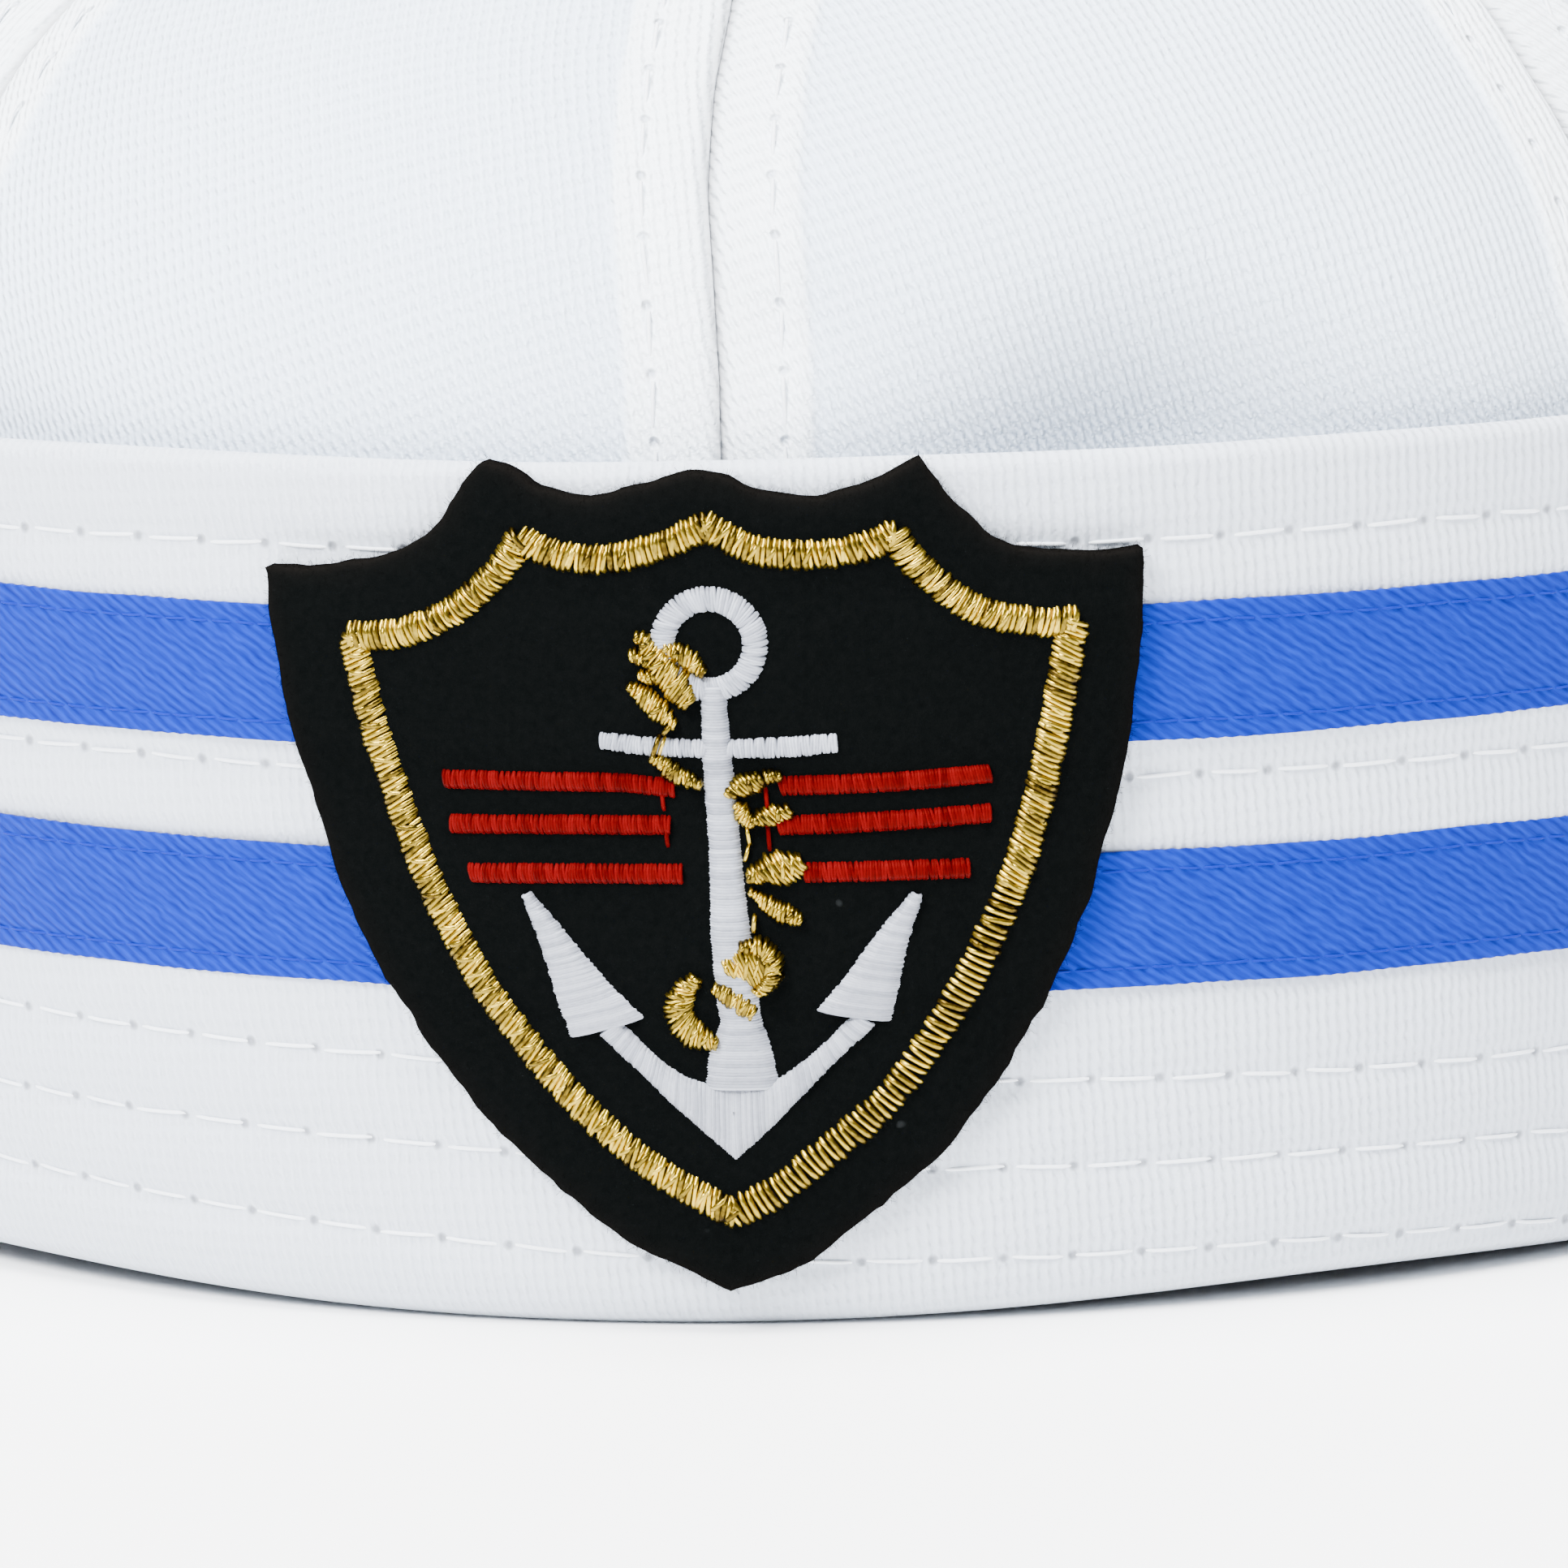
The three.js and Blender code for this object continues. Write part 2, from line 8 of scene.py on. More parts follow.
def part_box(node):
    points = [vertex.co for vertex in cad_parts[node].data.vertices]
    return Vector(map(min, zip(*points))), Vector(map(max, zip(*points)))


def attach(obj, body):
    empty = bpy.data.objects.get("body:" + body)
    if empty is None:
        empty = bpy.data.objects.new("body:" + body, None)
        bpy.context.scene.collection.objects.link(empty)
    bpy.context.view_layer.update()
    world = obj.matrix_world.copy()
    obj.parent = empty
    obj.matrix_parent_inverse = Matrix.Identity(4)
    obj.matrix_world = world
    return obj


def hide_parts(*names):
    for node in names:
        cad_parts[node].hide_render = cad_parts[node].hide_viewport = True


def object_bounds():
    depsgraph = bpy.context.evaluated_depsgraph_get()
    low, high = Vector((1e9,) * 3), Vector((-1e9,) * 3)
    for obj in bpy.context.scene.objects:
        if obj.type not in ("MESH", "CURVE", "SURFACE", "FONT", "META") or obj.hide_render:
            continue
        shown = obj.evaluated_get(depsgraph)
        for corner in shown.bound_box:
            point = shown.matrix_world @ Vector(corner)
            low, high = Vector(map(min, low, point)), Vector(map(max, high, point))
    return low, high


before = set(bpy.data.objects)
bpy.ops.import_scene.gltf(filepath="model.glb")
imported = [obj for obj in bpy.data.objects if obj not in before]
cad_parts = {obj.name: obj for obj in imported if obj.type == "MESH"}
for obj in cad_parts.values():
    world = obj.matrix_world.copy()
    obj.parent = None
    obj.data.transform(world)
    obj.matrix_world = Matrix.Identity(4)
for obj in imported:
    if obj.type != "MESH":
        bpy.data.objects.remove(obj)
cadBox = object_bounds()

mm = 0.001
fullTurn = 2 * math.pi

# everything below is in mm until it becomes a mesh
hat = {
    "flare": math.radians(5),  # of the brim
    "brimWall": 2.4,
    "crownWall": 1.2,
    "gutter": 1.2,  # between the foot of the crown and the brim
    "fold": 2.0,  # thickness of the fold that the hat rests on
    "rollHeight": 7.0,  # where the face of the brim starts to curl under
    "rollDepth": 2.5,
    "crownLean": 3.8,
    "shoulderHeight": 60.0,
    "domeFullness": 0.93,
    "goreCount": 8,
}

brimLow, brimHigh = [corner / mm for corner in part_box("brim")]
brimFoot = hat["crownWall"] + hat["gutter"] + hat["brimWall"]
capRadius = hat["brimWall"] / 2
capHeight = brimHigh.z - capRadius
edgeOut = brimFoot + capHeight * math.tan(hat["flare"])
halfWidth = brimHigh.x - edgeOut  # of the head opening
halfLength = (brimHigh.y - brimLow.y) / 2 - edgeOut
centreY = (brimHigh.y + brimLow.y) / 2
slopeHeight = brimHigh.z / math.cos(hat["flare"])
domeRise = cadBox[1].z / mm - hat["shoulderHeight"]


def toLinear(hexColour):
    channels = [int(hexColour[i:i + 2], 16) / 255 for i in (1, 3, 5)]
    linear = [c / 12.92 if c <= 0.04045 else ((c + 0.055) / 1.055) ** 2.4 for c in channels]
    return (*linear, 1)


# fills a node's inputs with values, sockets, or nodes, whose first live output is meant
def plug(node, inputs):
    for name, value in inputs.items():
        if isinstance(value, bpy.types.Node):
            value = next(output for output in value.outputs if output.enabled)
        if isinstance(value, bpy.types.NodeSocket):
            node.id_data.links.new(value, node.inputs[name])
        else:
            node.inputs[name].default_value = value
    return node


def addNode(tree, kind, inputs=None, **settings):
    node = tree.nodes.new(kind)
    for name, value in settings.items():
        setattr(node, name, value)
    return plug(node, inputs or {})


def smoothStep(low, high, value):
    share = np.clip((value - low) / (high - low), 0, 1)
    return share * share * (3 - 2 * share)


def bell(distance, reach):
    return np.exp(-(distance / reach) ** 2)


# lumps of about the given size, from -1 to 1
def softNoise(points, size, seed):
    flat = np.asarray(points, float).reshape(-1, 3) / size + 17.3 * seed
    values = [noise.noise(point) for point in flat.tolist()]
    return np.array(values).reshape(np.shape(points)[:-1])


# the sum of several sorts of lumps, each of which is (height, size, seed)
def softLumps(points, sorts):
    return sum(height * softNoise(points, size, seed) for height, size, seed in sorts)


def cumulated(points):
    steps = np.linalg.norm(np.diff(points, axis=0), axis=1)
    return np.concatenate([[0], np.cumsum(steps)])


def alongPath(points, shares):
    points = np.asarray(points, float)
    length = cumulated(points)
    return np.stack([np.interp(shares * length[-1], length, axis) for axis in points.T], axis=-1)


def outwardAt(azimuth):
    normalX, normalY = halfLength * np.sin(azimuth), -halfWidth * np.cos(azimuth)
    size = np.hypot(normalX, normalY)
    return normalX / size, normalY / size


# the head oval in plan, moved outwards; azimuth 0 is the front and a quarter turn is +X
def ovalPlan(azimuth, out):
    outX, outY = outwardAt(azimuth)
    return halfWidth * np.sin(azimuth) + outX * out, -halfLength * np.cos(azimuth) + outY * out


def ovalPoint(azimuth, out, z):
    x, y = ovalPlan(azimuth, out)
    return np.stack(np.broadcast_arrays(x, y + centreY, z), axis=-1)


# a point over the face of the brim: height runs up the slope, off is the distance from the face
def brimPoint(azimuth, height, off):
    across, up = math.cos(hat["flare"]), math.sin(hat["flare"])
    return ovalPoint(azimuth, brimFoot + height * up + off * across, height * across - off * up)


def brimOutward(azimuth):
    x, y = outwardAt(azimuth)
    across, up = math.cos(hat["flare"]), math.sin(hat["flare"])
    return np.stack(np.broadcast_arrays(x * across, y * across, -up), axis=-1)


def addObject(name, data):
    piece = bpy.data.objects.new(name, data)
    bpy.context.scene.collection.objects.link(piece)
    return piece


def wear(piece, nodes=()):
    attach(piece, "root")
    if nodes:
        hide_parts(*nodes)


# a mesh from rows and columns of points; uvs holds a value for each grid line, also where it wraps
def gridMesh(name, grid, material, wrapRows=False, wrapColumns=False, uvs=None, caps=(), amounts=None):
    rows, columns = grid.shape[:2]
    lastRow = rows if wrapRows else rows - 1
    lastColumn = columns if wrapColumns else columns - 1
    row, column = np.meshgrid(np.arange(lastRow), np.arange(lastColumn), indexing="ij")
    corners = [(row, column), (row, column + 1), (row + 1, column + 1), (row + 1, column)]
    faces = np.stack([(r % rows) * columns + c % columns for r, c in corners], axis=-1).reshape(-1, 4)
    mesh = bpy.data.meshes.new(name)
    mesh.from_pydata((grid.reshape(-1, 3) * mm).tolist(), [], faces.tolist() + list(caps))
    for layerName, values in (uvs or {}).items():
        filled = np.zeros((len(mesh.loops), 2))
        cornerValues = np.stack([values[r, c] for r, c in corners], axis=2).reshape(-1, 2)
        filled[:len(cornerValues)] = cornerValues
        mesh.uv_layers.new(name=layerName).data.foreach_set("uv", filled.ravel())
    return finishMesh(mesh, material, amounts or {})


# amounts holds a number for each vertex, by attribute name
def finishMesh(mesh, material, amounts):
    for attributeName, values in amounts.items():
        attribute = mesh.attributes.new(attributeName, "FLOAT", "POINT")
        attribute.data.foreach_set("value", np.asarray(values, float).ravel())
    mesh.materials.append(material)
    mesh.shade_smooth()
    mesh.validate()
    return addObject(mesh.name, mesh)


print("materials")


def newMaterial(name):
    material = bpy.data.materials.new(name)
    material.use_nodes = True
    tree = material.node_tree
    return material, tree, tree.nodes["Principled BSDF"]


twill = {
    "pitch": 0.8,  # mm between the diagonal ribs
    "floatLength": 1.3,  # mm of each thread that shows on a rib
    "floatShare": 0.35,  # of a rib's relief
    "wander": 0.5,  # mm
    "stitchPitch": 5.2,  # mm between needle holes
    "holeRadius": 0.52,  # mm, of the painted shade round each needle hole, and the part of it that is dark all over
    "holeCore": 0.1,
    "holeDepth": -2.0,  # times the relief
    "doubled": "#f0f6fb",  # where a seam's allowance lies behind
    "creaseShadeTone": "#97999d",  # painted shade in a seam's crease
}


# Cotton drill, bleached and starched: matt, faint diagonal ribs, and painted shade in the needle holes
# along the topstitching. The rows map holds stitches along and mm across each row.
def cottonDrill(name, cloth, shade, ribAngle, relief, contrast, paintedHoleShade):
    material, tree, surface = newMaterial(name)
    clothMap = addNode(tree, "ShaderNodeUVMap", uv_map="cloth")
    turned = addNode(tree, "ShaderNodeMapping", {"Vector": clothMap, "Rotation": (0, 0, ribAngle)})
    axes = addNode(tree, "ShaderNodeSeparateXYZ", {"Vector": turned}).outputs
    fuzz = addNode(tree, "ShaderNodeTexNoise", {"Vector": clothMap, "Scale": 0.55, "Detail": 3.0})
    yarn = addNode(tree, "ShaderNodeTexNoise", {"Vector": clothMap, "Scale": 2.4, "Detail": 2.0})
    wander = addNode(
        tree, "ShaderNodeMath", {0: fuzz, 1: twill["wander"], 2: axes["X"]}, operation="MULTIPLY_ADD")
    ribPhase = addNode(
        tree, "ShaderNodeMath", {0: wander, 1: fullTurn / twill["pitch"]}, operation="MULTIPLY")
    floatTurns = fullTurn / twill["floatLength"]
    floatPhase = addNode(
        tree, "ShaderNodeMath", {0: axes["Y"], 1: floatTurns, 2: ribPhase}, operation="MULTIPLY_ADD")
    rib = addNode(tree, "ShaderNodeMath", {0: ribPhase}, operation="SINE")
    floats = addNode(tree, "ShaderNodeMath", {0: floatPhase}, operation="SINE")
    weave = addNode(
        tree, "ShaderNodeMath", {0: floats, 1: twill["floatShare"], 2: rib}, operation="MULTIPLY_ADD")
    uneven = addNode(tree, "ShaderNodeMath", {0: weave, 1: yarn}, operation="MULTIPLY")
    # halfway between two stitches the share is 0.5, and there the needle went in
    rowMap = addNode(tree, "ShaderNodeUVMap", uv_map="rows")
    rowAxes = addNode(tree, "ShaderNodeSeparateXYZ", {"Vector": rowMap}).outputs
    stitchShare = addNode(tree, "ShaderNodeMath", {0: rowAxes["X"]}, operation="FRACT")
    pitch = twill["stitchPitch"]
    # painted shade in each needle hole, darkest at its middle
    besideHole = addNode(
        tree, "ShaderNodeMath", {0: stitchShare, 1: pitch, 2: -pitch / 2}, operation="MULTIPLY_ADD")
    toHole = addNode(tree, "ShaderNodeCombineXYZ", {"X": besideHole, "Y": rowAxes["Y"]})
    distance = addNode(tree, "ShaderNodeVectorMath", {0: toHole}, operation="LENGTH")
    holeSizes = {"From Min": twill["holeRadius"], "From Max": twill["holeCore"]}
    hole = addNode(
        tree, "ShaderNodeMapRange", {"Value": distance, **holeSizes}, interpolation_type="SMOOTHSTEP")
    tint = addNode(tree, "ShaderNodeMapRange", {
        "Value": uneven, "From Min": -0.9, "From Max": 0.9, "To Min": contrast, "To Max": 0.0})
    colour = addNode(
        tree, "ShaderNodeMix", {0: tint, 6: toLinear(cloth), 7: toLinear(shade)}, data_type="RGBA")
    doubled = addNode(tree, "ShaderNodeAttribute", attribute_name="doubled").outputs["Fac"]
    # painted shade in the creases of the seams
    creaseShade = addNode(tree, "ShaderNodeAttribute", attribute_name="creaseShade").outputs["Fac"]
    for amount, tone in ((doubled, twill["doubled"]), (hole, paintedHoleShade), (creaseShade, twill["creaseShadeTone"])):
        colour = addNode(tree, "ShaderNodeMix", {0: amount, 6: colour, 7: toLinear(tone)}, data_type="RGBA")
    depth = addNode(
        tree, "ShaderNodeMath", {0: hole, 1: twill["holeDepth"], 2: uneven}, operation="MULTIPLY_ADD")
    bump = addNode(tree, "ShaderNodeBump", {"Height": depth, "Strength": 1.0, "Distance": relief * mm})
    plug(surface, {
        "Base Color": colour, "Normal": bump, "Roughness": 0.85, "Sheen Weight": 0.15,
        "Sheen Roughness": 0.5, "Specular IOR Level": 0.25,
    })
    return material


satinWeave = {
    "pitch": 0.7,  # mm between the slanting ribs
    "slant": math.radians(33),
    "wander": 0.7,  # mm
    "floatStretch": (0.5, 4.0, 1.0),
    "floatShare": 4.5,  # of a rib's relief
    "relief": 0.012,  # mm
    "dark": "#081462",
    "light": "#092a96",
    "glint": "#3a70ff",
}


# Polyester satin ribbon: smooth and bright, with a shallow slant of fine floats that catch the light.
def polyesterSatin():
    material, tree, surface = newMaterial("polyesterSatin")
    clothMap = addNode(tree, "ShaderNodeUVMap", uv_map="cloth")
    turned = addNode(
        tree, "ShaderNodeMapping", {"Vector": clothMap, "Rotation": (0, 0, satinWeave["slant"])})
    axes = addNode(tree, "ShaderNodeSeparateXYZ", {"Vector": turned}).outputs
    wander = addNode(tree, "ShaderNodeTexNoise", {"Vector": clothMap, "Scale": 0.5, "Detail": 1.0})
    shifted = addNode(
        tree, "ShaderNodeMath", {0: wander, 1: satinWeave["wander"], 2: axes["Y"]},
        operation="MULTIPLY_ADD")
    phase = addNode(
        tree, "ShaderNodeMath", {0: shifted, 1: fullTurn / satinWeave["pitch"]}, operation="MULTIPLY")
    rib = addNode(tree, "ShaderNodeMath", {0: phase}, operation="SINE")
    stretched = addNode(
        tree, "ShaderNodeMapping", {"Vector": turned, "Scale": satinWeave["floatStretch"]})
    floats = addNode(tree, "ShaderNodeTexNoise", {"Vector": stretched, "Scale": 1.0, "Detail": 4.0})
    height = addNode(
        tree, "ShaderNodeMath", {0: floats, 1: satinWeave["floatShare"], 2: rib},
        operation="MULTIPLY_ADD")
    tint = addNode(tree, "ShaderNodeMapRange", {"Value": height, "From Min": 0.3, "From Max": 4.2})
    ends = {6: toLinear(satinWeave["dark"]), 7: toLinear(satinWeave["light"])}
    colour = addNode(tree, "ShaderNodeMix", {0: tint, **ends}, data_type="RGBA")
    relief = satinWeave["relief"] * mm
    bump = addNode(tree, "ShaderNodeBump", {"Height": height, "Strength": 1.0, "Distance": relief})
    plug(surface, {
        "Base Color": colour, "Normal": bump, "Roughness": 0.4, "Specular IOR Level": 0.04,
        "Specular Tint": toLinear(satinWeave["glint"]),
    })
    return material


feltWool = {
    "dark": "#020303",
    "light": "#080909",
    "cutEdge": "#0b0a09",
    "lint": "#303334",
    "relief": 0.12,  # mm
}


# Wool felt, dyed black: matt and hairy, with a few specks of lint and a brown cast at the cut edge.
def woolFelt():
    material, tree, surface = newMaterial("woolFelt")
    place = addNode(tree, "ShaderNodeTexCoord").outputs["Object"]
    hairs = addNode(
        tree, "ShaderNodeTexNoise", {"Vector": place, "Scale": 1600.0, "Detail": 5.0, "Roughness": 0.7})
    lumps = addNode(tree, "ShaderNodeTexNoise", {"Vector": place, "Scale": 260.0, "Detail": 3.0})
    lint = addNode(tree, "ShaderNodeTexNoise", {"Vector": place, "Scale": 420.0, "Detail": 1.0})
    speck = addNode(
        tree, "ShaderNodeMapRange", {"Value": lint, "From Min": 0.79, "From Max": 0.84, "To Max": 0.35})
    ends = {6: toLinear(feltWool["dark"]), 7: toLinear(feltWool["light"])}
    colour = addNode(tree, "ShaderNodeMix", {0: hairs, **ends}, data_type="RGBA")
    edge = addNode(tree, "ShaderNodeAttribute", attribute_name="edge").outputs["Fac"]
    for amount, tone in ((edge, feltWool["cutEdge"]), (speck, feltWool["lint"])):
        colour = addNode(tree, "ShaderNodeMix", {0: amount, 6: colour, 7: toLinear(tone)}, data_type="RGBA")
    height = addNode(tree, "ShaderNodeMath", {0: lumps, 1: 1.5, 2: hairs}, operation="MULTIPLY_ADD")
    relief = feltWool["relief"] * mm
    bump = addNode(tree, "ShaderNodeBump", {"Height": height, "Strength": 0.9, "Distance": relief})
    plug(surface, {
        "Base Color": colour, "Normal": bump, "Roughness": 0.95, "Specular IOR Level": 0.0})
    return material


# Embroidery thread: each strand has its own tone, and fine plies run along it.
def embroideryThread(name, dark, light, metallic, roughness, glint="#ffffff", specular=0.5):
    material, tree, surface = newMaterial(name)
    place = addNode(tree, "ShaderNodeTexCoord").outputs["Object"]
    plies = addNode(tree, "ShaderNodeTexNoise", {"Vector": place, "Scale": 2600.0, "Detail": 3.0})
    tone = addNode(tree, "ShaderNodeAttribute", attribute_name="tone").outputs["Fac"]
    mixed = addNode(tree, "ShaderNodeMath", {0: plies, 1: 0.7, 2: tone}, operation="MULTIPLY_ADD")
    share = addNode(tree, "ShaderNodeMapRange", {"Value": mixed, "From Min": 0.3, "From Max": 1.3})
    colour = addNode(
        tree, "ShaderNodeMix", {0: share, 6: toLinear(dark), 7: toLinear(light)}, data_type="RGBA")
    bump = addNode(tree, "ShaderNodeBump", {"Height": plies, "Strength": 0.7, "Distance": 0.05 * mm})
    plug(surface, {
        "Base Color": colour, "Normal": bump, "Metallic": metallic, "Roughness": roughness,
        "Specular IOR Level": specular, "Specular Tint": toLinear(glint),
    })
    return material


crownDrill = cottonDrill(
    "cottonDrillCrown", "#d4e1f0", "#bac7d8", math.radians(-19), 0.15, 0.7, "#c8d0db")
# painted shade: the brim is the crown's cloth, painted darker and greyer, with darker needle holes
shadedBrimDrill = cottonDrill(
    "cottonDrillBrimShaded", "#c3cad4", "#adb4c0", math.radians(-4), 0.1, 0.5, "#83878f")
satin = polyesterSatin()
felt = woolFelt()
goldThread = embroideryThread("metallisedGoldThread", "#36290b", "#bfa234", 1.0, 0.28)
whiteThread = embroideryThread("rayonThreadWhite", "#727680", "#969aa4", 0.0, 0.4, specular=0.3)
redThread = embroideryThread("rayonThreadRed", "#330102", "#510406", 0.0, 0.42, "#ff4a30", 0.08)
cottonThread = embroideryThread("cottonThreadWhite", "#d2d6dd", "#e5e9ef", 0.0, 0.7, specular=0.2)
blueThread = embroideryThread("polyesterThreadBlue", "#08146a", "#0a1c80", 0.0, 0.5, "#5a8cff", 0.1)


print("thread trees")


# gives the tree, the outputs that hold its inputs, and its end
def newTree(name, inputs):
    tree = bpy.data.node_groups.new(name, "GeometryNodeTree")
    tree.interface.new_socket("Geometry", in_out="OUTPUT", socket_type="NodeSocketGeometry")
    for label, kind in {"Geometry": "Geometry", **inputs, "Material": "Material"}.items():
        tree.interface.new_socket(label, in_out="INPUT", socket_type="NodeSocket" + kind)
    return tree, addNode(tree, "NodeGroupInput").outputs, addNode(tree, "NodeGroupOutput")


# ends a tree with real meshes of the given material
def closeTree(tree, given, result, shapes):
    real = addNode(tree, "GeometryNodeRealizeInstances", {"Geometry": shapes})
    dyed = addNode(tree, "GeometryNodeSetMaterial", {"Geometry": real, "Material": given["Material"]})
    plug(result, {"Geometry": dyed})
    return tree


# applies a tree and keeps its result as a plain mesh
def bakeTree(piece, tree, values):
    modifier = piece.modifiers.new(tree.name, "NODES")
    modifier.node_group = tree
    for item in tree.interface.items_tree:
        if item.in_out == "INPUT" and item.name in values:
            modifier[item.identifier] = values[item.name]
    graph = bpy.context.evaluated_depsgraph_get()
    mesh = bpy.data.meshes.new_from_object(piece.evaluated_get(graph))
    piece.modifiers.clear()
    piece.data = mesh
    mesh.name = piece.name


# Each edge of the mesh becomes one arched strand; its outward attribute says which way and how high.
def satinTree():
    tree, given, result = newTree("satinThreads", {
        "Thread radius": "Float", "Steps": "Int", "Sides": "Int", "Unevenness": "Float", "Seed": "Int"})
    strands = addNode(tree, "GeometryNodeMeshToCurve", {0: given["Geometry"]})
    resampled = addNode(tree, "GeometryNodeResampleCurve", {"Curve": strands, "Count": given["Steps"]})
    number = addNode(tree, "GeometryNodeCurveOfPoint")
    chance = addNode(
        tree, "FunctionNodeRandomValue", {"ID": number, "Seed": given["Seed"]}, data_type="FLOAT")
    spread = addNode(tree, "ShaderNodeMath", {0: chance, 1: given["Unevenness"]}, operation="MULTIPLY")
    share = addNode(tree, "ShaderNodeMath", {0: 1.0, 1: spread}, operation="SUBTRACT")
    place = addNode(tree, "GeometryNodeSplineParameter")
    centred = addNode(tree, "ShaderNodeMath", {0: place, 1: 2.0, 2: -1.0}, operation="MULTIPLY_ADD")
    squared = addNode(tree, "ShaderNodeMath", {0: centred, 1: centred}, operation="MULTIPLY")
    quartic = addNode(tree, "ShaderNodeMath", {0: squared, 1: squared}, operation="MULTIPLY")
    arch = addNode(tree, "ShaderNodeMath", {0: 1.0, 1: quartic}, operation="SUBTRACT")
    lift = addNode(tree, "ShaderNodeMath", {0: arch, 1: share}, operation="MULTIPLY")
    outward = addNode(
        tree, "GeometryNodeInputNamedAttribute", {"Name": "outward"}, data_type="FLOAT_VECTOR")
    offset = addNode(tree, "ShaderNodeVectorMath", {0: outward, "Scale": lift}, operation="SCALE")
    arched = addNode(tree, "GeometryNodeSetPosition", {"Geometry": resampled, "Offset": offset})
    radius = addNode(
        tree, "ShaderNodeMath", {0: given["Thread radius"], 1: share}, operation="MULTIPLY")
    toned = addNode(
        tree, "GeometryNodeStoreNamedAttribute", {"Geometry": arched, "Name": "tone", "Value": chance},
        data_type="FLOAT", domain="POINT")
    profile = addNode(
        tree, "GeometryNodeCurvePrimitiveCircle", {"Radius": 1.0, "Resolution": given["Sides"]})
    tubes = addNode(tree, "GeometryNodeCurveToMesh", {
        "Curve": toned, "Profile Curve": profile, "Scale": radius, "Fill Caps": True})
    smooth = addNode(tree, "GeometryNodeSetShadeSmooth", {"Geometry": tubes})
    return closeTree(tree, given, result, smooth)


# Lays even stitches along each path of the mesh; the path's outward attribute is the way up.
def stitchTree():
    tree, given, result = newTree("stitchRow", {
        "Stitches": "Int", "Stitch length": "Float", "Thread radius": "Float", "Rise": "Float",
        "Unevenness": "Float", "Seed": "Int",
    })
    path = addNode(tree, "GeometryNodeMeshToCurve", {0: given["Geometry"]})
    spaced = addNode(tree, "GeometryNodeResampleCurve", {"Curve": path, "Count": given["Stitches"]})
    halfStitch = addNode(
        tree, "ShaderNodeMath", {0: given["Stitch length"], 1: 0.5}, operation="MULTIPLY")
    lineEnd = addNode(tree, "ShaderNodeCombineXYZ", {"X": halfStitch})
    lineStart = addNode(tree, "ShaderNodeVectorMath", {0: lineEnd, "Scale": -1.0}, operation="SCALE")
    line = addNode(tree, "GeometryNodeCurvePrimitiveLine", {"Start": lineStart, "End": lineEnd})
    bent = addNode(tree, "GeometryNodeResampleCurve", {"Curve": line, "Count": 7})
    place = addNode(tree, "GeometryNodeSplineParameter")
    centred = addNode(tree, "ShaderNodeMath", {0: place, 1: 2.0, 2: -1.0}, operation="MULTIPLY_ADD")
    quartic = addNode(tree, "ShaderNodeMath", {0: centred, 1: 4.0}, operation="POWER")
    # the ends dive into the cloth by as much as the middle stands above it
    arch = addNode(tree, "ShaderNodeMath", {0: quartic, 1: -2.0, 2: 1.0}, operation="MULTIPLY_ADD")
    rise = addNode(tree, "ShaderNodeMath", {0: arch, 1: given["Rise"]}, operation="MULTIPLY")
    upwards = addNode(tree, "ShaderNodeCombineXYZ", {"Z": rise})
    arched = addNode(tree, "GeometryNodeSetPosition", {"Geometry": bent, "Offset": upwards})
    profile = addNode(
        tree, "GeometryNodeCurvePrimitiveCircle", {"Radius": given["Thread radius"], "Resolution": 6})
    stitch = addNode(tree, "GeometryNodeCurveToMesh", {
        "Curve": arched, "Profile Curve": profile, "Fill Caps": True})
    smooth = addNode(tree, "GeometryNodeSetShadeSmooth", {"Geometry": stitch})
    outward = addNode(
        tree, "GeometryNodeInputNamedAttribute", {"Name": "outward"}, data_type="FLOAT_VECTOR")
    tangent = addNode(tree, "GeometryNodeInputTangent")
    facing = addNode(
        tree, "FunctionNodeAxesToRotation", {0: outward, 1: tangent},
        primary_axis="Z", secondary_axis="X")
    swing = addNode(
        tree, "FunctionNodeRandomValue", {2: -0.5, 3: 0.5, "Seed": given["Seed"]}, data_type="FLOAT")
    swung = addNode(tree, "ShaderNodeMath", {0: swing, 1: 0.12}, operation="MULTIPLY")
    turn = addNode(tree, "FunctionNodeAxisAngleToRotation", {"Axis": (0, 0, 1), "Angle": swung})
    turned = addNode(
        tree, "FunctionNodeRotateRotation", {"Rotation": facing, "Rotate By": turn},
        rotation_space="LOCAL")
    shortest = addNode(tree, "ShaderNodeMath", {0: 1.0, 1: given["Unevenness"]}, operation="SUBTRACT")
    size = addNode(
        tree, "FunctionNodeRandomValue", {2: shortest, 3: 1.0, "Seed": given["Seed"]}, data_type="FLOAT")
    sizes = addNode(tree, "ShaderNodeCombineXYZ", {"X": size, "Y": 1.0, "Z": 1.0})
    placed = addNode(tree, "GeometryNodeInstanceOnPoints", {
        "Points": spaced, "Instance": smooth, "Rotation": turned, "Scale": sizes})
    toned = addNode(
        tree, "GeometryNodeStoreNamedAttribute", {"Geometry": placed, "Name": "tone", "Value": size},
        data_type="FLOAT", domain="INSTANCE")
    return closeTree(tree, given, result, toned)


satinThreads = satinTree()
stitchRow = stitchTree()


# a mesh of loose lines with an outward vector at each point, in mm
def lineMesh(name, points, edges, outward):
    mesh = bpy.data.meshes.new(name)
    mesh.from_pydata((points * mm).tolist(), edges, [])
    attribute = mesh.attributes.new("outward", "FLOAT_VECTOR", "POINT")
    attribute.data.foreach_set("vector", np.asarray(outward, float).ravel())
    return addObject(name, mesh)


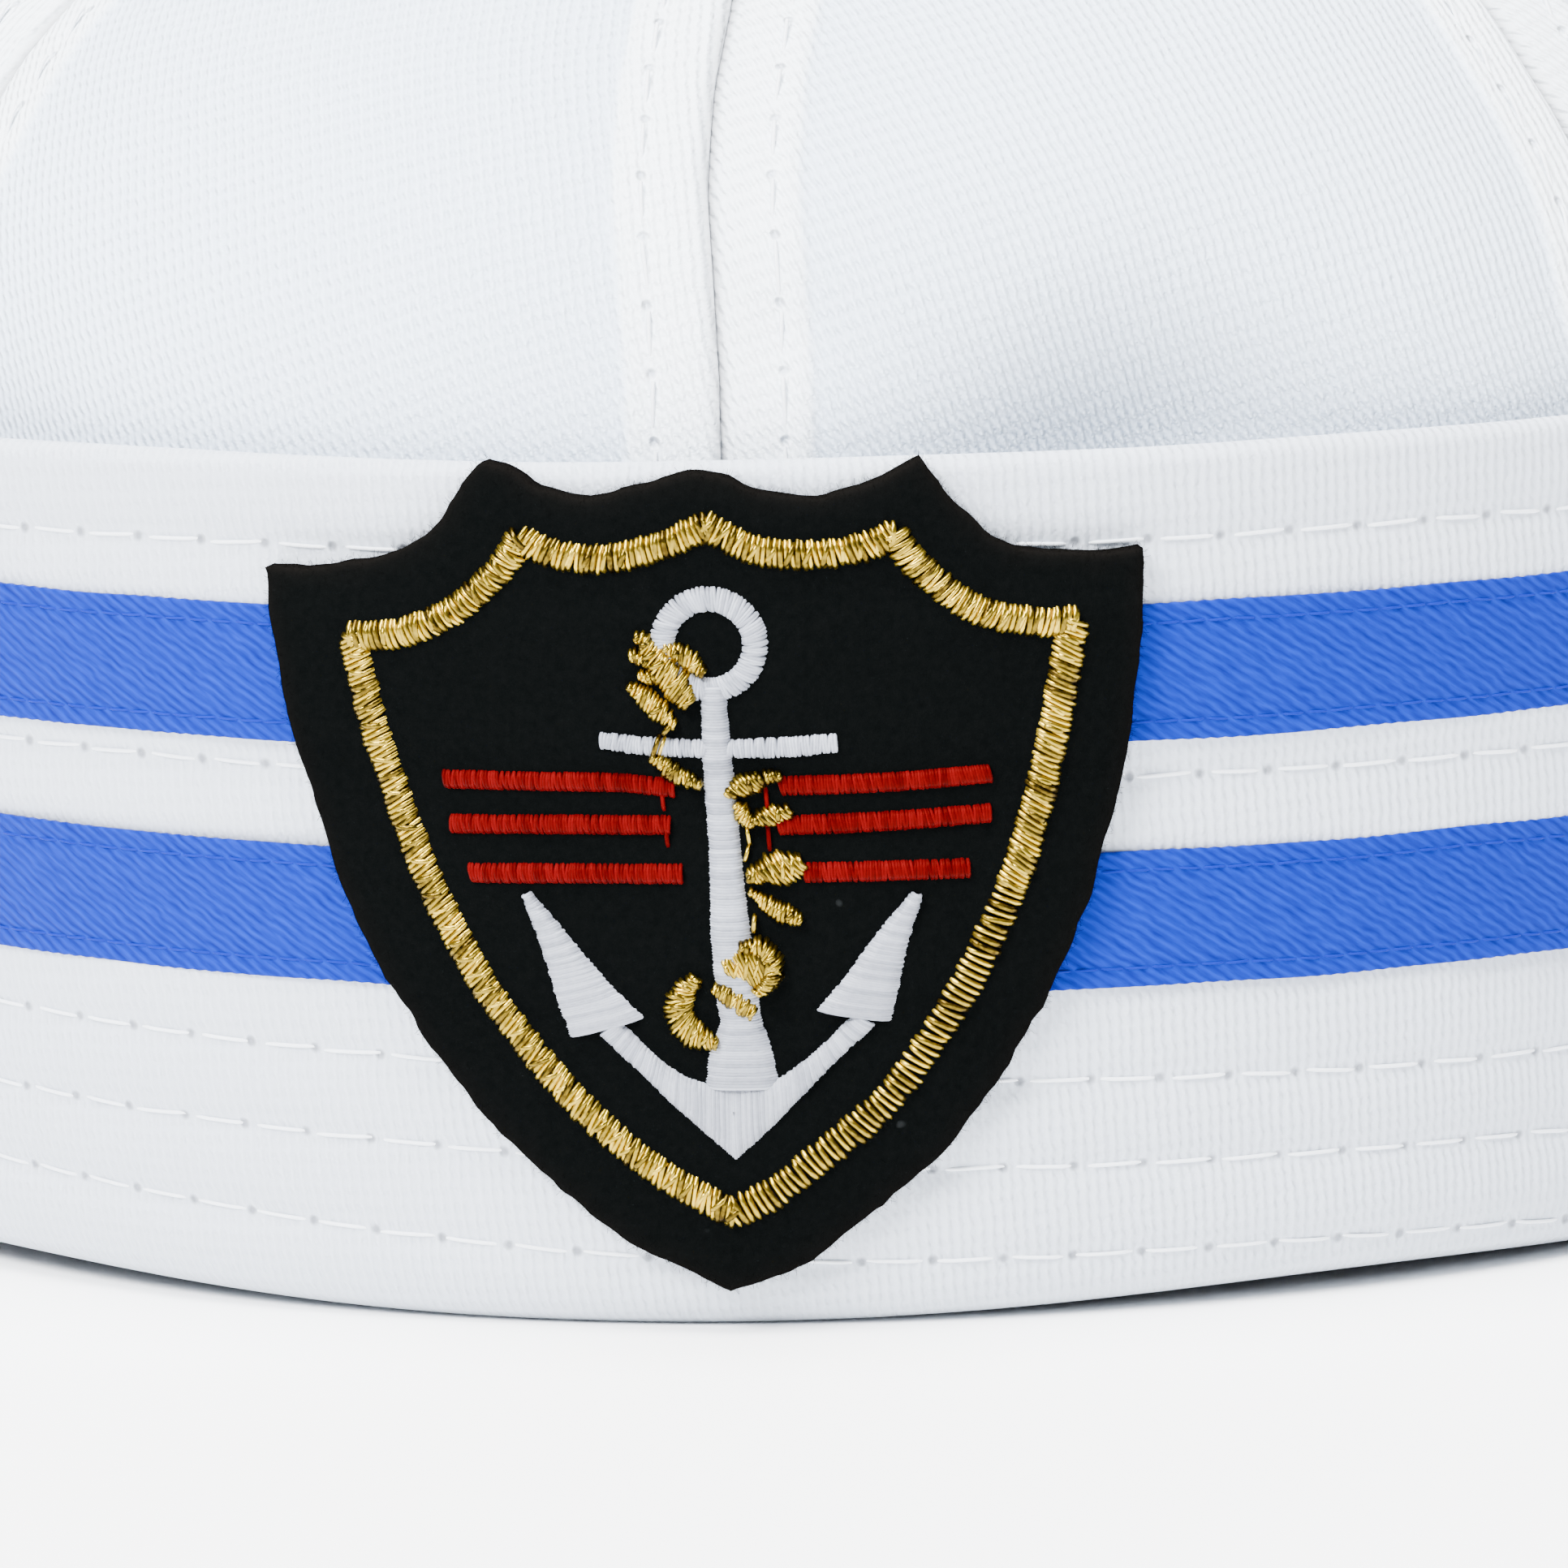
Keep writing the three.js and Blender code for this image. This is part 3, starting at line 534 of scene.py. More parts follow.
# stitches with sizes in mm along paths, each of which is (points, outward normals, closed)
def sewRows(name, thread, stitch, paths):
    points, outward, edges = [], [], []
    for path, normals, closed in paths:
        start = sum(len(part) for part in points)
        count = len(path)
        edges += [(start + i, start + i + 1) for i in range(count - 1)]
        if closed:
            edges.append((start + count - 1, start))
        points.append(path)
        outward.append(normals)
    piece = lineMesh(name, np.concatenate(points), edges, np.concatenate(outward))
    bakeTree(piece, stitchRow, {
        "Stitches": stitch["count"],
        "Stitch length": stitch["length"] * mm,
        "Thread radius": stitch["radius"] * mm,
        "Rise": stitch["rise"] * mm,
        "Unevenness": stitch["unevenness"],
        "Seed": stitch["seed"],
        "Material": thread,
    })
    wear(piece)


print("brim")

brimCloth = {
    "columns": 660,
    "faceRows": 78,
    "rollRows": 9,
    "capRows": 8,
    "innerRows": 8,
    "foldRows": 7,
    # height of each row of topstitching at the front, and how far it sways down to the right side
    "rows": [
        (57.4, 0.2), (50.0, 1.0), (40.6, 1.8), (33.5, 3.0), (27.0, 3.5), (18.9, 4.0), (12.3, 4.4),
        (5.1, 4.7),
    ],
    "lowestRow": 1.5,
    "rowReach": 1.6,  # mm to each side of a row where its needle holes are drawn
    # round the brim the stitches start 5.2 mm apart
    "stitch": {"count": 118, "length": 4.5, "radius": 0.15, "rise": 0.14, "unevenness": 0.12, "seed": 5},
    "grooveDepth": 0.3,
    "grooveWidth": 0.7,
    "puff": 0.22,  # of the padding between two rows
    "puffStart": 0.3,  # mm from a row, and where the padding is full
    "puffEnd": 3.0,
    "lumps": [(0.1, 5.0, 1), (0.35, 26.0, 2)],
    "edgeWave": 0.35,
    "edgeWaveSize": 34.0,
    "waveFoot": 44.0,  # height where the edge's wave begins
    # azimuth, reach and height of the places where the soft hem stands off the table
    "hemLifts": [
        (0.5, 0.32, 1.4), (-0.72, 0.34, 1.6), (1.9, 0.4, 0.7), (-2.3, 0.45, 0.8), (2.9, 0.3, 0.5),
    ],
    "liftFoot": 3.0,  # height up to which the hem rises in full, and where the lift ends
    "liftTop": 17.0,
}
brimRows = range(len(brimCloth["rows"]))
farAway = 50.0  # mm, in the rows map, where no stitch is near


def hemLift(azimuth, height):
    lift = 0
    for middle, reach, rise in brimCloth["hemLifts"]:
        turn = np.arctan2(np.sin(azimuth - middle), np.cos(azimuth - middle))
        lift = lift + rise * bell(turn, reach)
    return lift * (1 - smoothStep(brimCloth["liftFoot"], brimCloth["liftTop"], height))


def brimRowHeight(row, azimuth):
    front, sway = brimCloth["rows"][row]
    return np.maximum(front - sway * np.sin(azimuth), brimCloth["lowestRow"])


# out, z and the outward direction of the smooth face at a height up the slope
def brimFace(height):
    flare, rollHeight = hat["flare"], hat["rollHeight"]
    rollFoot = brimFoot - hat["rollDepth"]
    reach = brimFoot + rollHeight * math.tan(flare) - rollFoot
    z = height * math.cos(flare)
    angle = np.arccos(np.clip(1 - z / rollHeight, 0, 1))
    rolled = z < rollHeight
    out = np.where(rolled, rollFoot + reach * np.sin(angle), brimFoot + z * math.tan(flare))
    normalOut = np.where(rolled, rollHeight * np.sin(angle), math.cos(flare))
    normalUp = np.where(rolled, -reach * np.cos(angle), -math.sin(flare))
    size = np.hypot(normalOut, normalUp)
    return out, z, normalOut / size, normalUp / size


def rowShares(row, azimuth):
    ring = np.linspace(-math.pi, math.pi, 721)
    length = cumulated(brimPoint(ring, brimRowHeight(row, ring), 0))
    return np.interp(azimuth, ring, length / length[-1])


rowStarts = np.random.default_rng(11).uniform(0, 1, len(brimRows))


# the quilted face: swells between the rows of stitching and sinks along them
def brimSurface(azimuth, height):
    azimuth, height = np.broadcast_arrays(azimuth, height)
    distances = np.stack([height - brimRowHeight(row, azimuth) for row in brimRows])
    nearest = np.abs(distances).argmin(axis=0)
    distance = np.take_along_axis(distances, nearest[None], axis=0)[0]
    out, z, normalOut, normalUp = brimFace(height)
    x, y = ovalPlan(azimuth, out)
    points = np.stack([x, y, z], axis=-1)
    swell = smoothStep(brimCloth["puffStart"], brimCloth["puffEnd"], np.abs(distance))
    lift = brimCloth["puff"] * swell
    lift = lift - brimCloth["grooveDepth"] * bell(distance, brimCloth["grooveWidth"])
    lift = (lift + softLumps(points, brimCloth["lumps"])) * smoothStep(0.5, 3.5, height)
    outX, outY = outwardAt(azimuth)
    normal = np.stack([outX * normalOut, outY * normalOut, normalUp], axis=-1)
    points = points + normal * lift[..., None]
    points[..., 2] += hemLift(azimuth, height)
    wave = brimCloth["edgeWave"] * smoothStep(brimCloth["waveFoot"], slopeHeight, height)
    level = np.stack([x, y, z * 0], axis=-1)
    points[..., 2] += wave * softNoise(level, brimCloth["edgeWaveSize"], 3)
    points[..., 1] += centreY
    return points, normal, nearest, distance


# the brim's section runs up the face, over the edge, down inside and round the fold
def buildBrim():
    columns = brimCloth["columns"]
    azimuth = np.linspace(-math.pi, math.pi, columns + 1)
    heights = np.concatenate([
        np.linspace(0, hat["rollHeight"], brimCloth["rollRows"] + 1)[:-1],
        np.linspace(hat["rollHeight"], capHeight / math.cos(hat["flare"]), brimCloth["faceRows"]),
    ])
    face, _, nearest, distance = brimSurface(azimuth[None, :], heights[:, None])
    outX, outY = outwardAt(azimuth)
    outward = np.stack([outX, outY, np.zeros(columns + 1)], axis=-1)
    cap = [
        face[-1] + outward * (capRadius * (math.cos(a) - 1)) + [0, 0, capRadius * math.sin(a)]
        for a in np.linspace(0, math.pi, brimCloth["capRows"] + 1)[1:]
    ]
    innerFoot = brimFoot + hat["fold"] * math.tan(hat["flare"]) - hat["brimWall"]
    down = ovalPoint(azimuth, innerFoot, hat["fold"]) - cap[-1]
    inner = [cap[-1] + down * share for share in np.linspace(0, 1, brimCloth["innerRows"] + 1)[1:]]
    radius = hat["fold"] / 2
    fold = [
        ovalPoint(azimuth, radius + radius * math.cos(a), radius + radius * math.sin(a))
        for a in np.linspace(math.pi / 2, 1.5 * math.pi, brimCloth["foldRows"])
    ]
    below = np.array(inner + fold)
    below[..., 2] += hemLift(azimuth[None, :], below[..., 2])
    grid = np.concatenate([face, cap, below])
    arc = cumulated(brimPoint(azimuth, slopeHeight / 2, 0))
    section = cumulated(grid[:, columns // 2])
    section = np.append(section, section[-1] + 1)
    cloth = np.stack(np.broadcast_arrays(arc[None, :], section[:, None]), axis=-1)
    shares = np.stack([rowShares(row, azimuth) for row in brimRows])
    stitches = (shares[nearest, np.arange(columns + 1)] - rowStarts[nearest]) * brimCloth["stitch"]["count"]
    near = np.abs(distance) < brimCloth["rowReach"]
    rows = np.full((len(grid) + 1, columns + 1, 2), farAway)
    # whole stitches are added, so that no count is below zero
    rows[:len(face), :, 0] = np.where(near, stitches + 1000, 1000)
    rows[:len(face), :, 1] = np.where(near, distance, farAway * np.sign(distance))
    piece = gridMesh(
        "brimCloth", grid[:, :-1], shadedBrimDrill, wrapRows=True, wrapColumns=True,
        uvs={"cloth": cloth, "rows": rows},
    )
    wear(piece, ["brim"])
    return piece


def sewBrim():
    ring = np.linspace(-math.pi, math.pi, 1801)
    paths = []
    for row, start in enumerate(rowStarts):
        shares = (rowShares(row, ring) - start) % 1
        azimuth = ring[:-1][np.argsort(shares[:-1])]
        points, normals, _, _ = brimSurface(azimuth, brimRowHeight(row, azimuth))
        paths.append((points, normals, True))
    sewRows("brimTopstitches", cottonThread, brimCloth["stitch"], paths)


brimPiece = buildBrim()
sewBrim()


print("crown")

crownCloth = {
    "rows": 92,
    "footRows": 6,
    "footShare": 0.2,  # of the way up, where the closer rows begin
    "bandStops": [0, 0.12, 0.3, 0.55, 0.9, 1.5, 2.5, 3.6, 4.4, 4.8, 5.2, 5.8, 6.8, 7.2, 7.5, 7.9, 8.6],
    "middleColumns": 24,
    "sideShare": 0.35,  # of the way up, to the shoulder
    "puff": 2.2,
    "seamBand": 7.5,
    "bandRise": 0.45,
    "bandInside": 0.5,
    "seamGroove": 0.9,
    "grooveWidth": 0.75,
    "seamStep": 0.2,
    "stepReach": 2.2,
    "stitchInset": 5.0,
    "stitchGroove": 0.14,
    "lumps": [(0.55, 30.0, 4), (0.12, 7.0, 5)],
    "seamWander": 0.55,
    "frontSeam": [(0.36, -0.3), (0.42, -0.5), (0.48, -1.1), (0.53, -1.8), (0.59, -1.8), (0.64, -1.1), (1, 0)],
    "deepestDent": 7.0,
    "tipRadius": 0.12,
    "grainTurns": [5, 3, -4, 5, 0, -6, 4, 0],  # degrees, as each gore was cut a little off the straight
    "stitch": {"count": 24, "length": 4.3, "radius": 0.15, "rise": 0.12, "unevenness": 0.15, "seed": 9},
    "stitchFoot": 0.24,
    # azimuth in degrees, height as a share of the crown's, half sizes and depth as in the solids
    "dents": [
        (19, 0.55, 0.2, 0.28, 1), (68, 0.56, 0.3, 0.3, 0.67), (-45, 0.55, 0.24, 0.24, 0.42),
        (2.5, 0.64, 0.05, 0.07, 0.12), (128, 0.57, 0.3, 0.3, 0.58), (-110, 0.56, 0.3, 0.3, 0.67),
        (-160, 0.57, 0.26, 0.28, 0.5),
    ],
}
goreAngle = fullTurn / hat["goreCount"]
shoulderRadius = halfWidth + (hat["crownWall"] + hat["crownLean"])
crownSeat = hat["fold"] + 0.1
hiddenShare = 0.5 * crownCloth["sideShare"]  # behind the brim


def crownPlain(azimuth, share):
    sideShare = crownCloth["sideShare"]
    rise = np.clip(share / sideShare, 0, 1)
    dome = np.clip((share - sideShare) / (1 - sideShare), 0, 1) * math.pi / 2
    x, y = ovalPlan(azimuth, hat["crownWall"] + hat["crownLean"] * rise)
    shrink = np.maximum(np.cos(dome), 0) ** hat["domeFullness"]
    z = crownSeat + (hat["shoulderHeight"] - crownSeat) * rise + domeRise * np.sin(dome)
    return x * shrink, y * shrink, z, dome


def crownRadius(azimuth, share):
    return np.hypot(*crownPlain(azimuth, share)[:2])


# a seam is never quite straight: it wanders a little to each side on its way up
def seamAzimuth(seam, share):
    number = np.mod(seam, hat["goreCount"])
    phase = number * 2.4
    wander = crownCloth["seamWander"] * (np.sin(share * 19 + phase) + 0.6 * np.sin(share * 43 + 2.1 * phase))
    wander = wander * (1 - smoothStep(0.8, 1.0, share))
    wander = np.where(number == 0, np.interp(share, *zip(*crownCloth["frontSeam"])), wander)
    return seam * goreAngle + wander / shoulderRadius


def dentDepth(azimuth, z):
    goreWidth = goreAngle * shoulderRadius
    height = hat["shoulderHeight"] + domeRise
    depth = 0
    for degrees, middle, width, tall, share in crownCloth["dents"]:
        turn = azimuth - math.radians(degrees)
        turn = np.arctan2(np.sin(turn), np.cos(turn))
        aside = turn * halfWidth / (width * goreWidth)
        above = (z - middle * height) / (tall * domeRise)
        depth = depth + crownCloth["deepestDent"] * share * np.exp(-aside ** 2 - above ** 2)
    return depth


def crownSurface(azimuth, share):
    azimuth, share = np.broadcast_arrays(azimuth, share)
    x, y, z, dome = crownPlain(azimuth, share)
    radius = np.hypot(x, y)
    seam = np.round(azimuth / goreAngle)
    fromSeam = azimuth - seamAzimuth(seam, share)
    seamDistance = np.abs(fromSeam) * radius
    first = np.where(fromSeam >= 0, seam, seam - 1)
    start, end = seamAzimuth(first, share), seamAzimuth(first + 1, share)
    along = np.clip((azimuth - start) / (end - start), 0, 1)
    sideShare, band = crownCloth["sideShare"], crownCloth["seamBand"]
    fullness = smoothStep(hiddenShare, sideShare + 0.2, share) * smoothStep(0, halfWidth / 2, radius)
    bandFade = smoothStep(0, band, radius * goreAngle / 2 - band) * smoothStep(hiddenShare, sideShare, share)
    onBand = (1 - smoothStep(band - 0.7, band + 0.1, seamDistance)) * bandFade
    lift = crownCloth["puff"] * fullness * np.sin(math.pi * along) + crownCloth["bandRise"] * onBand
    lift = lift - crownCloth["seamGroove"] * bell(seamDistance, crownCloth["grooveWidth"]) * fullness
    # the cloth on one side of a seam lies over the other's
    step = np.sign(fromSeam) * np.exp(-seamDistance / crownCloth["stepReach"])
    lift = lift - crownCloth["seamStep"] * step * bandFade
    lift = lift - crownCloth["stitchGroove"] * bell(seamDistance - crownCloth["stitchInset"], 0.6) * bandFade
    base = np.stack([x, y, z], axis=-1)
    lift = lift + fullness * softLumps(base, crownCloth["lumps"])
    lift = lift + 0.12 * bandFade * softNoise(base, 3.0, 6) * bell(seamDistance, 5.0)
    outward = base[..., :2] / np.maximum(radius, 1e-6)[..., None]
    level = (lift - dentDepth(azimuth, z)) * np.cos(dome)
    plan = base[..., :2] + outward * level[..., None]
    points = np.stack([plan[..., 0], plan[..., 1] + centreY, z + lift * np.sin(dome)], axis=-1)
    normal = np.concatenate([outward * np.cos(dome)[..., None], np.sin(dome)[..., None]], axis=-1)
    return points, normal, seamDistance, bandFade


def crownShares():
    tip = 1.0
    while crownRadius(0.0, tip) < crownCloth["tipRadius"]:
        tip -= 0.0002
    foot = np.linspace(0, crownCloth["footShare"], crownCloth["footRows"] + 1)[:-1]
    return np.concatenate([foot, np.linspace(crownCloth["footShare"], tip, crownCloth["rows"])])


# azimuths of a gore's columns in each row, and their distances in mm from its middle
def goreColumns(number, shares):
    stops = np.array(crownCloth["bandStops"])
    azimuths, across = [], []
    for share in shares:
        start, end = seamAzimuth(number, share), seamAzimuth(number + 1, share)
        radius = crownRadius((start + end) / 2, share)
        half = (end - start) / 2 * radius
        reach = min(stops[-1], 0.8 * half)
        left = stops * reach / stops[-1]
        inside = np.linspace(reach, 2 * half - reach, crownCloth["middleColumns"] + 2)[1:-1]
        distance = np.concatenate([left, inside, 2 * half - left[::-1]])
        distance = np.clip(distance, 0.02, 2 * half - 0.02) if half > 0.05 else distance
        azimuths.append(start + distance / radius)
        across.append(distance - half)
    return np.array(azimuths), np.array(across)


# at the very top the wall would pass the middle, so the inner face stops beside it
def innerFace(outer, normal, wall):
    inner = outer - normal * wall[..., None]
    middle = np.array([0, centreY])
    innerPlan, outerPlan = inner[..., :2] - middle, outer[..., :2] - middle
    innerSize, outerSize = np.linalg.norm(innerPlan, axis=-1), np.linalg.norm(outerPlan, axis=-1)
    crossed = (np.sum(innerPlan * outerPlan, axis=-1) < 0) | (innerSize < 0.05)
    shrink = np.where(crossed, 0.5 * outerSize / np.maximum(innerSize, 1e-6), 1)
    inner[..., :2] = middle + innerPlan * shrink[..., None]
    return inner


def buildGore(number):
    shares = crownShares()
    azimuth, across = goreColumns(number, shares)
    rows, columns = azimuth.shape
    outer, normal, seamDistance, bandFade = crownSurface(azimuth, shares[:, None])
    allowance = crownCloth["bandInside"] * (1 - smoothStep(6.9, 7.6, seamDistance)) * bandFade
    inner = innerFace(outer, normal, hat["crownWall"] + allowance)
    grid = np.concatenate([outer, inner[:, ::-1]], axis=1)
    grain = math.radians(crownCloth["grainTurns"][number])
    up = np.broadcast_to(cumulated(outer[:, columns // 2])[:, None], across.shape)
    turnedAcross = across * math.cos(grain) - up * math.sin(grain)
    turnedUp = across * math.sin(grain) + up * math.cos(grain)
    outerCloth = np.stack([turnedAcross, turnedUp], axis=-1)
    cloth = np.concatenate([outerCloth, outerCloth[:, ::-1], outerCloth[:, :1]], axis=1)
    # the stitches are counted along each seam's own line
    leftHalf = np.arange(columns) < columns / 2
    counts = [stitchCount(seam, shares)[:, None] for seam in (number, number + 1)]
    rowMap = np.full((rows, 2 * columns + 1, 2), farAway)
    rowMap[:, :columns, 0] = np.where(leftHalf, *counts)
    rowMap[:, :columns, 1] = seamDistance - crownCloth["stitchInset"]
    rowMap[shares > stitchTop, :, 1] = farAway
    doubled = 0.8 * (1 - smoothStep(6.7, 7.6, seamDistance)) * bandFade
    # painted shade in each seam's crease: the cloth on the far side of a seam lies lower, so more painted
    # shade falls on it
    creaseShade = 0.8 * bell(seamDistance, 0.55) + 0.3 * np.exp(-seamDistance / 1.3) * leftHalf
    amounts = {"doubled": doubled, "creaseShade": creaseShade * bandFade}
    amounts = {name: np.concatenate([share, 0 * share], axis=1) for name, share in amounts.items()}
    full = 2 * columns
    last = (rows - 1) * full
    caps = []
    for c in range(columns - 1):
        cap = (c, full - 1 - c, full - 2 - c, c + 1)
        caps += [cap, tuple(last + corner for corner in (cap[0], cap[3], cap[2], cap[1]))]
    piece = gridMesh(
        f"goreCloth{number + 1}", grid, crownDrill, wrapColumns=True,
        uvs={"cloth": cloth, "rows": rowMap}, caps=caps, amounts=amounts,
    )
    wear(piece, [f"gore_{number + 1}"])


# topstitching runs up to where the bands of two seams meet
def highestStitch():
    share = 0.9
    while crownRadius(0.0, share) * goreAngle / 2 < crownCloth["stitchInset"] + 0.8:
        share -= 0.002
    return share


stitchTop = highestStitch()


def seamPath(seam, side):
    shares = np.linspace(crownCloth["stitchFoot"], stitchTop, 240)
    azimuth = seamAzimuth(seam, shares)
    azimuth = azimuth + side * crownCloth["stitchInset"] / crownRadius(azimuth, shares)
    points, normals, _, _ = crownSurface(azimuth, shares)
    return shares, points, normals


def stitchCount(seam, shares):
    known, points, _ = seamPath(seam, 1)
    length = cumulated(points)
    return np.interp(shares, known, length / length[-1] * (crownCloth["stitch"]["count"] - 1)) + 100


def sewCrown():
    sides = [(seam, side) for seam in range(hat["goreCount"]) for side in (-1, 1)]
    paths = [(*seamPath(seam, side)[1:], False) for seam, side in sides]
    sewRows("crownTopstitches", cottonThread, crownCloth["stitch"], paths)


for number in range(hat["goreCount"]):
    buildGore(number)
sewCrown()


print("ribbons")

ribbon = {
    "width": 10.0,
    "thickness": 0.42,
    "seat": 0.2,  # off the brim's face
    "columns": 1150,
    "lap": 9.0,  # of the end over the start, at the back
    "lapGap": 0.06,
    "edgeWave": 0.12,
    "picot": 0.045,
    "picotPitch": 1.1,
    "stitchInset": 1.4,
    "stitch": {"count": 330, "length": 1.75, "radius": 0.1, "rise": 0.07, "unevenness": 0.15},
    # half of the columns' places across its face, as shares of half the width
    "face": [-0.995, -0.96, -0.9, -0.78, -0.7, -0.66, -0.62, -0.54, -0.36, -0.12],
    # each ribbon runs a little lower on the right than on the left: shift, sway and seed of its waves
    "ways": {"ribbon_upper": (-0.2, 0.7, 21), "ribbon_lower": (-0.1, 1.4, 31)},
}
ribbonMiddles = {}
for nodeName in ribbon["ways"]:
    low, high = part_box(nodeName)
    ribbonMiddles[nodeName] = (low.z + high.z) / 2 / mm / math.cos(hat["flare"]) + 0.07


def ribbonPoints(nodeName, azimuth, across, rise):
    shift, sway, seed = ribbon["ways"][nodeName]
    half = ribbon["width"] / 2
    middle = ribbonMiddles[nodeName] + shift - sway * np.sin(azimuth)
    ring = brimPoint(azimuth, middle, 0)
    over = smoothStep(math.pi - 0.05, math.pi - 0.005, azimuth)
    off = ribbon["seat"] + over * (ribbon["thickness"] + ribbon["lapGap"])
    wave = ribbon["edgeWave"] * softNoise(ring, 14.0, seed)
    edge = np.abs(across) / half
    beads = ribbon["picot"] * np.sin(azimuth * halfLength * fullTurn / ribbon["picotPitch"])
    swing = across * (1 + 0.02 * softNoise(ring, 9.0, seed + 1)) + wave + beads * edge ** 12 * np.sign(across)
    ripple = 0.07 * softNoise(ring, 6.0, seed + 2) * (0.4 + edge)
    seam = -0.1 * bell(np.abs(across) - (half - ribbon["stitchInset"]), 0.45)
    return brimPoint(azimuth, middle + swing, off + rise + ripple + seam * (rise > 0))


def buildRibbon(nodeName, pieceName):
    lapAngle = ribbon["lap"] / (halfLength + edgeOut)
    columns = ribbon["columns"]
    azimuth = np.linspace(-math.pi, math.pi + lapAngle, columns)
    half, thick = ribbon["width"] / 2, ribbon["thickness"]
    face = ribbon["face"] + [-share for share in reversed(ribbon["face"])]
    section = [(share * half, thick) for share in face]
    section += [(half, thick * 0.5), (half * 0.995, 0), (half * 0.5, 0), (-half * 0.5, 0)]
    section += [(-half * 0.995, 0), (-half, thick * 0.5)]
    grid = np.stack([ribbonPoints(nodeName, azimuth, across, rise) for across, rise in section])
    arc = cumulated(brimPoint(azimuth, ribbonMiddles[nodeName], 0))
    up = np.array([across for across, _ in section + section[:1]])
    cloth = np.stack(np.broadcast_arrays(arc[None, :], up[:, None]), axis=-1)
    start = tuple(row * columns for row in range(len(section)))
    end = tuple(corner + columns - 1 for corner in reversed(start))
    piece = gridMesh(pieceName, grid, satin, wrapRows=True, uvs={"cloth": cloth}, caps=[start, end])
    wear(piece, [nodeName])


def sewRibbon(nodeName, pieceName):
    azimuth = np.linspace(-math.pi, math.pi, 1500)
    inset = ribbon["width"] / 2 - ribbon["stitchInset"]
    paths = []
    for across in (-inset, inset):
        points = ribbonPoints(nodeName, azimuth, np.full(len(azimuth), across), ribbon["thickness"])
        paths.append((points, brimOutward(azimuth), False))
    stitch = {**ribbon["stitch"], "seed": ribbon["ways"][nodeName][2]}
    sewRows(pieceName, blueThread, stitch, paths)


buildRibbon("ribbon_upper", "ribbonUpperSatin")
buildRibbon("ribbon_lower", "ribbonLowerSatin")
sewRibbon("ribbon_upper", "ribbonUpperStitches")
sewRibbon("ribbon_lower", "ribbonLowerStitches")


print("patch")

patch = {
    "centre": -0.7,  # the badge is sewn a little to the left of the front seam
    "thickness": 1.7,
    "seat": 0.3,
    "overRibbon": 0.4,
    "outlineStep": 0.6,
    "fillStep": 1.1,
    "cuts": [(0.26, 4.0, 51), (0.17, 1.3, 52)],  # shallow scallops and small nicks from the scissors
    "rings": (0.22, 0.55),  # rows of points inside the outline
    "ringGap": 0.15,  # least distance of their points from the outline, and that of the others
    "fillGap": 1.0,
    "edgePress": 0.3,  # by how much the felt bends down at its very edge
    "pressReach": 0.35,
    "edgeReach": 0.4,  # of the cut edge's brown cast and its fuzz
    "lumps": [(0.08, 3.0, 53)],
    # each run goes from one sharp corner to the next, in mm across and up, as cut by hand
    "outline": [
        [(-0.1, 3.3), (6.4, 6.1), (14.0, 11.9), (19.2, 17.8), (24.5, 26.5), (28.5, 38.2), (30.3, 50.0),
         (30.6, 57.2)],
        [(30.6, 57.2), (26.4, 56.9), (21.2, 57.6), (17.6, 60.6), (14.8, 64.3)],
        [(14.8, 64.3), (11.7, 62.6), (7.2, 61.5), (3.3, 62.1), (1.4, 63.1), (-1.6, 63.4), (-4.5, 62.6),
         (-8.5, 61.7), (-12.0, 62.6), (-14.6, 63.9)],
        [(-14.6, 63.9), (-16.5, 64.0), (-19.4, 60.0), (-22.9, 57.5), (-27.9, 56.4), (-33.0, 56.4)],
        [(-33.0, 56.4), (-31.4, 44.5), (-28.1, 32.6), (-25.4, 26.8), (-19.6, 17.9), (-10.3, 9.1),
         (-0.1, 3.3)],
    ],
}
badgeOut = 3.0  # mm off the brim where distances round it are measured
azimuthTable = np.linspace(-1.2, 1.2, 2401)
badgeRing = ovalPlan(azimuthTable, brimFoot + slopeHeight / 2 * math.sin(hat["flare"]) + badgeOut)
arcTable = cumulated(np.stack(badgeRing, axis=-1))
arcTable = arcTable - np.interp(0, azimuthTable, arcTable)


def badgeAzimuth(across):
    return np.interp(patch["centre"] + across, arcTable, azimuthTable)


def feltBack(height):
    lifted = 0
    half = ribbon["width"] / 2
    for middle in ribbonMiddles.values():
        lifted = lifted + 1 - smoothStep(half - 0.3, half + 1.6, np.abs(height - middle))
    return patch["seat"] + patch["overRibbon"] * lifted


def feltFace(height):
    return feltBack(height) + patch["thickness"]


# a smooth line through the points
def curveThrough(points, steps=8):
    points = np.array(points, float)
    before, after = 2 * points[:1] - points[1:2], 2 * points[-1:] - points[-2:-1]
    padded = np.concatenate([before, points, after])
    t = np.linspace(0, 1, steps + 1)[:-1, None]
    parts = []
    for a, b, c, d in zip(padded, padded[1:], padded[2:], padded[3:]):
        slope, bend, twist = c - a, 2 * a - 5 * b + 4 * c - d, 3 * b - a - 3 * c + d
        parts.append(b + 0.5 * (slope * t + bend * t ** 2 + twist * t ** 3))
    return np.concatenate(parts + [points[-1:]])


def evenly(points, step):
    count = max(3, round(cumulated(points)[-1] / step))
    return alongPath(points, np.linspace(0, 1, count + 1))


def unit(vectors):
    return vectors / np.maximum(np.linalg.norm(vectors, axis=1), 1e-9)[:, None]


# to the right of each step along a line
def sideways(points, closed=False):
    padded = np.concatenate([points[-1:], points, points[:1]])
    direction = unit(padded[2:] - padded[:-2] if closed else np.gradient(points, axis=0))
    return np.stack([direction[:, 1], -direction[:, 0]], axis=-1)


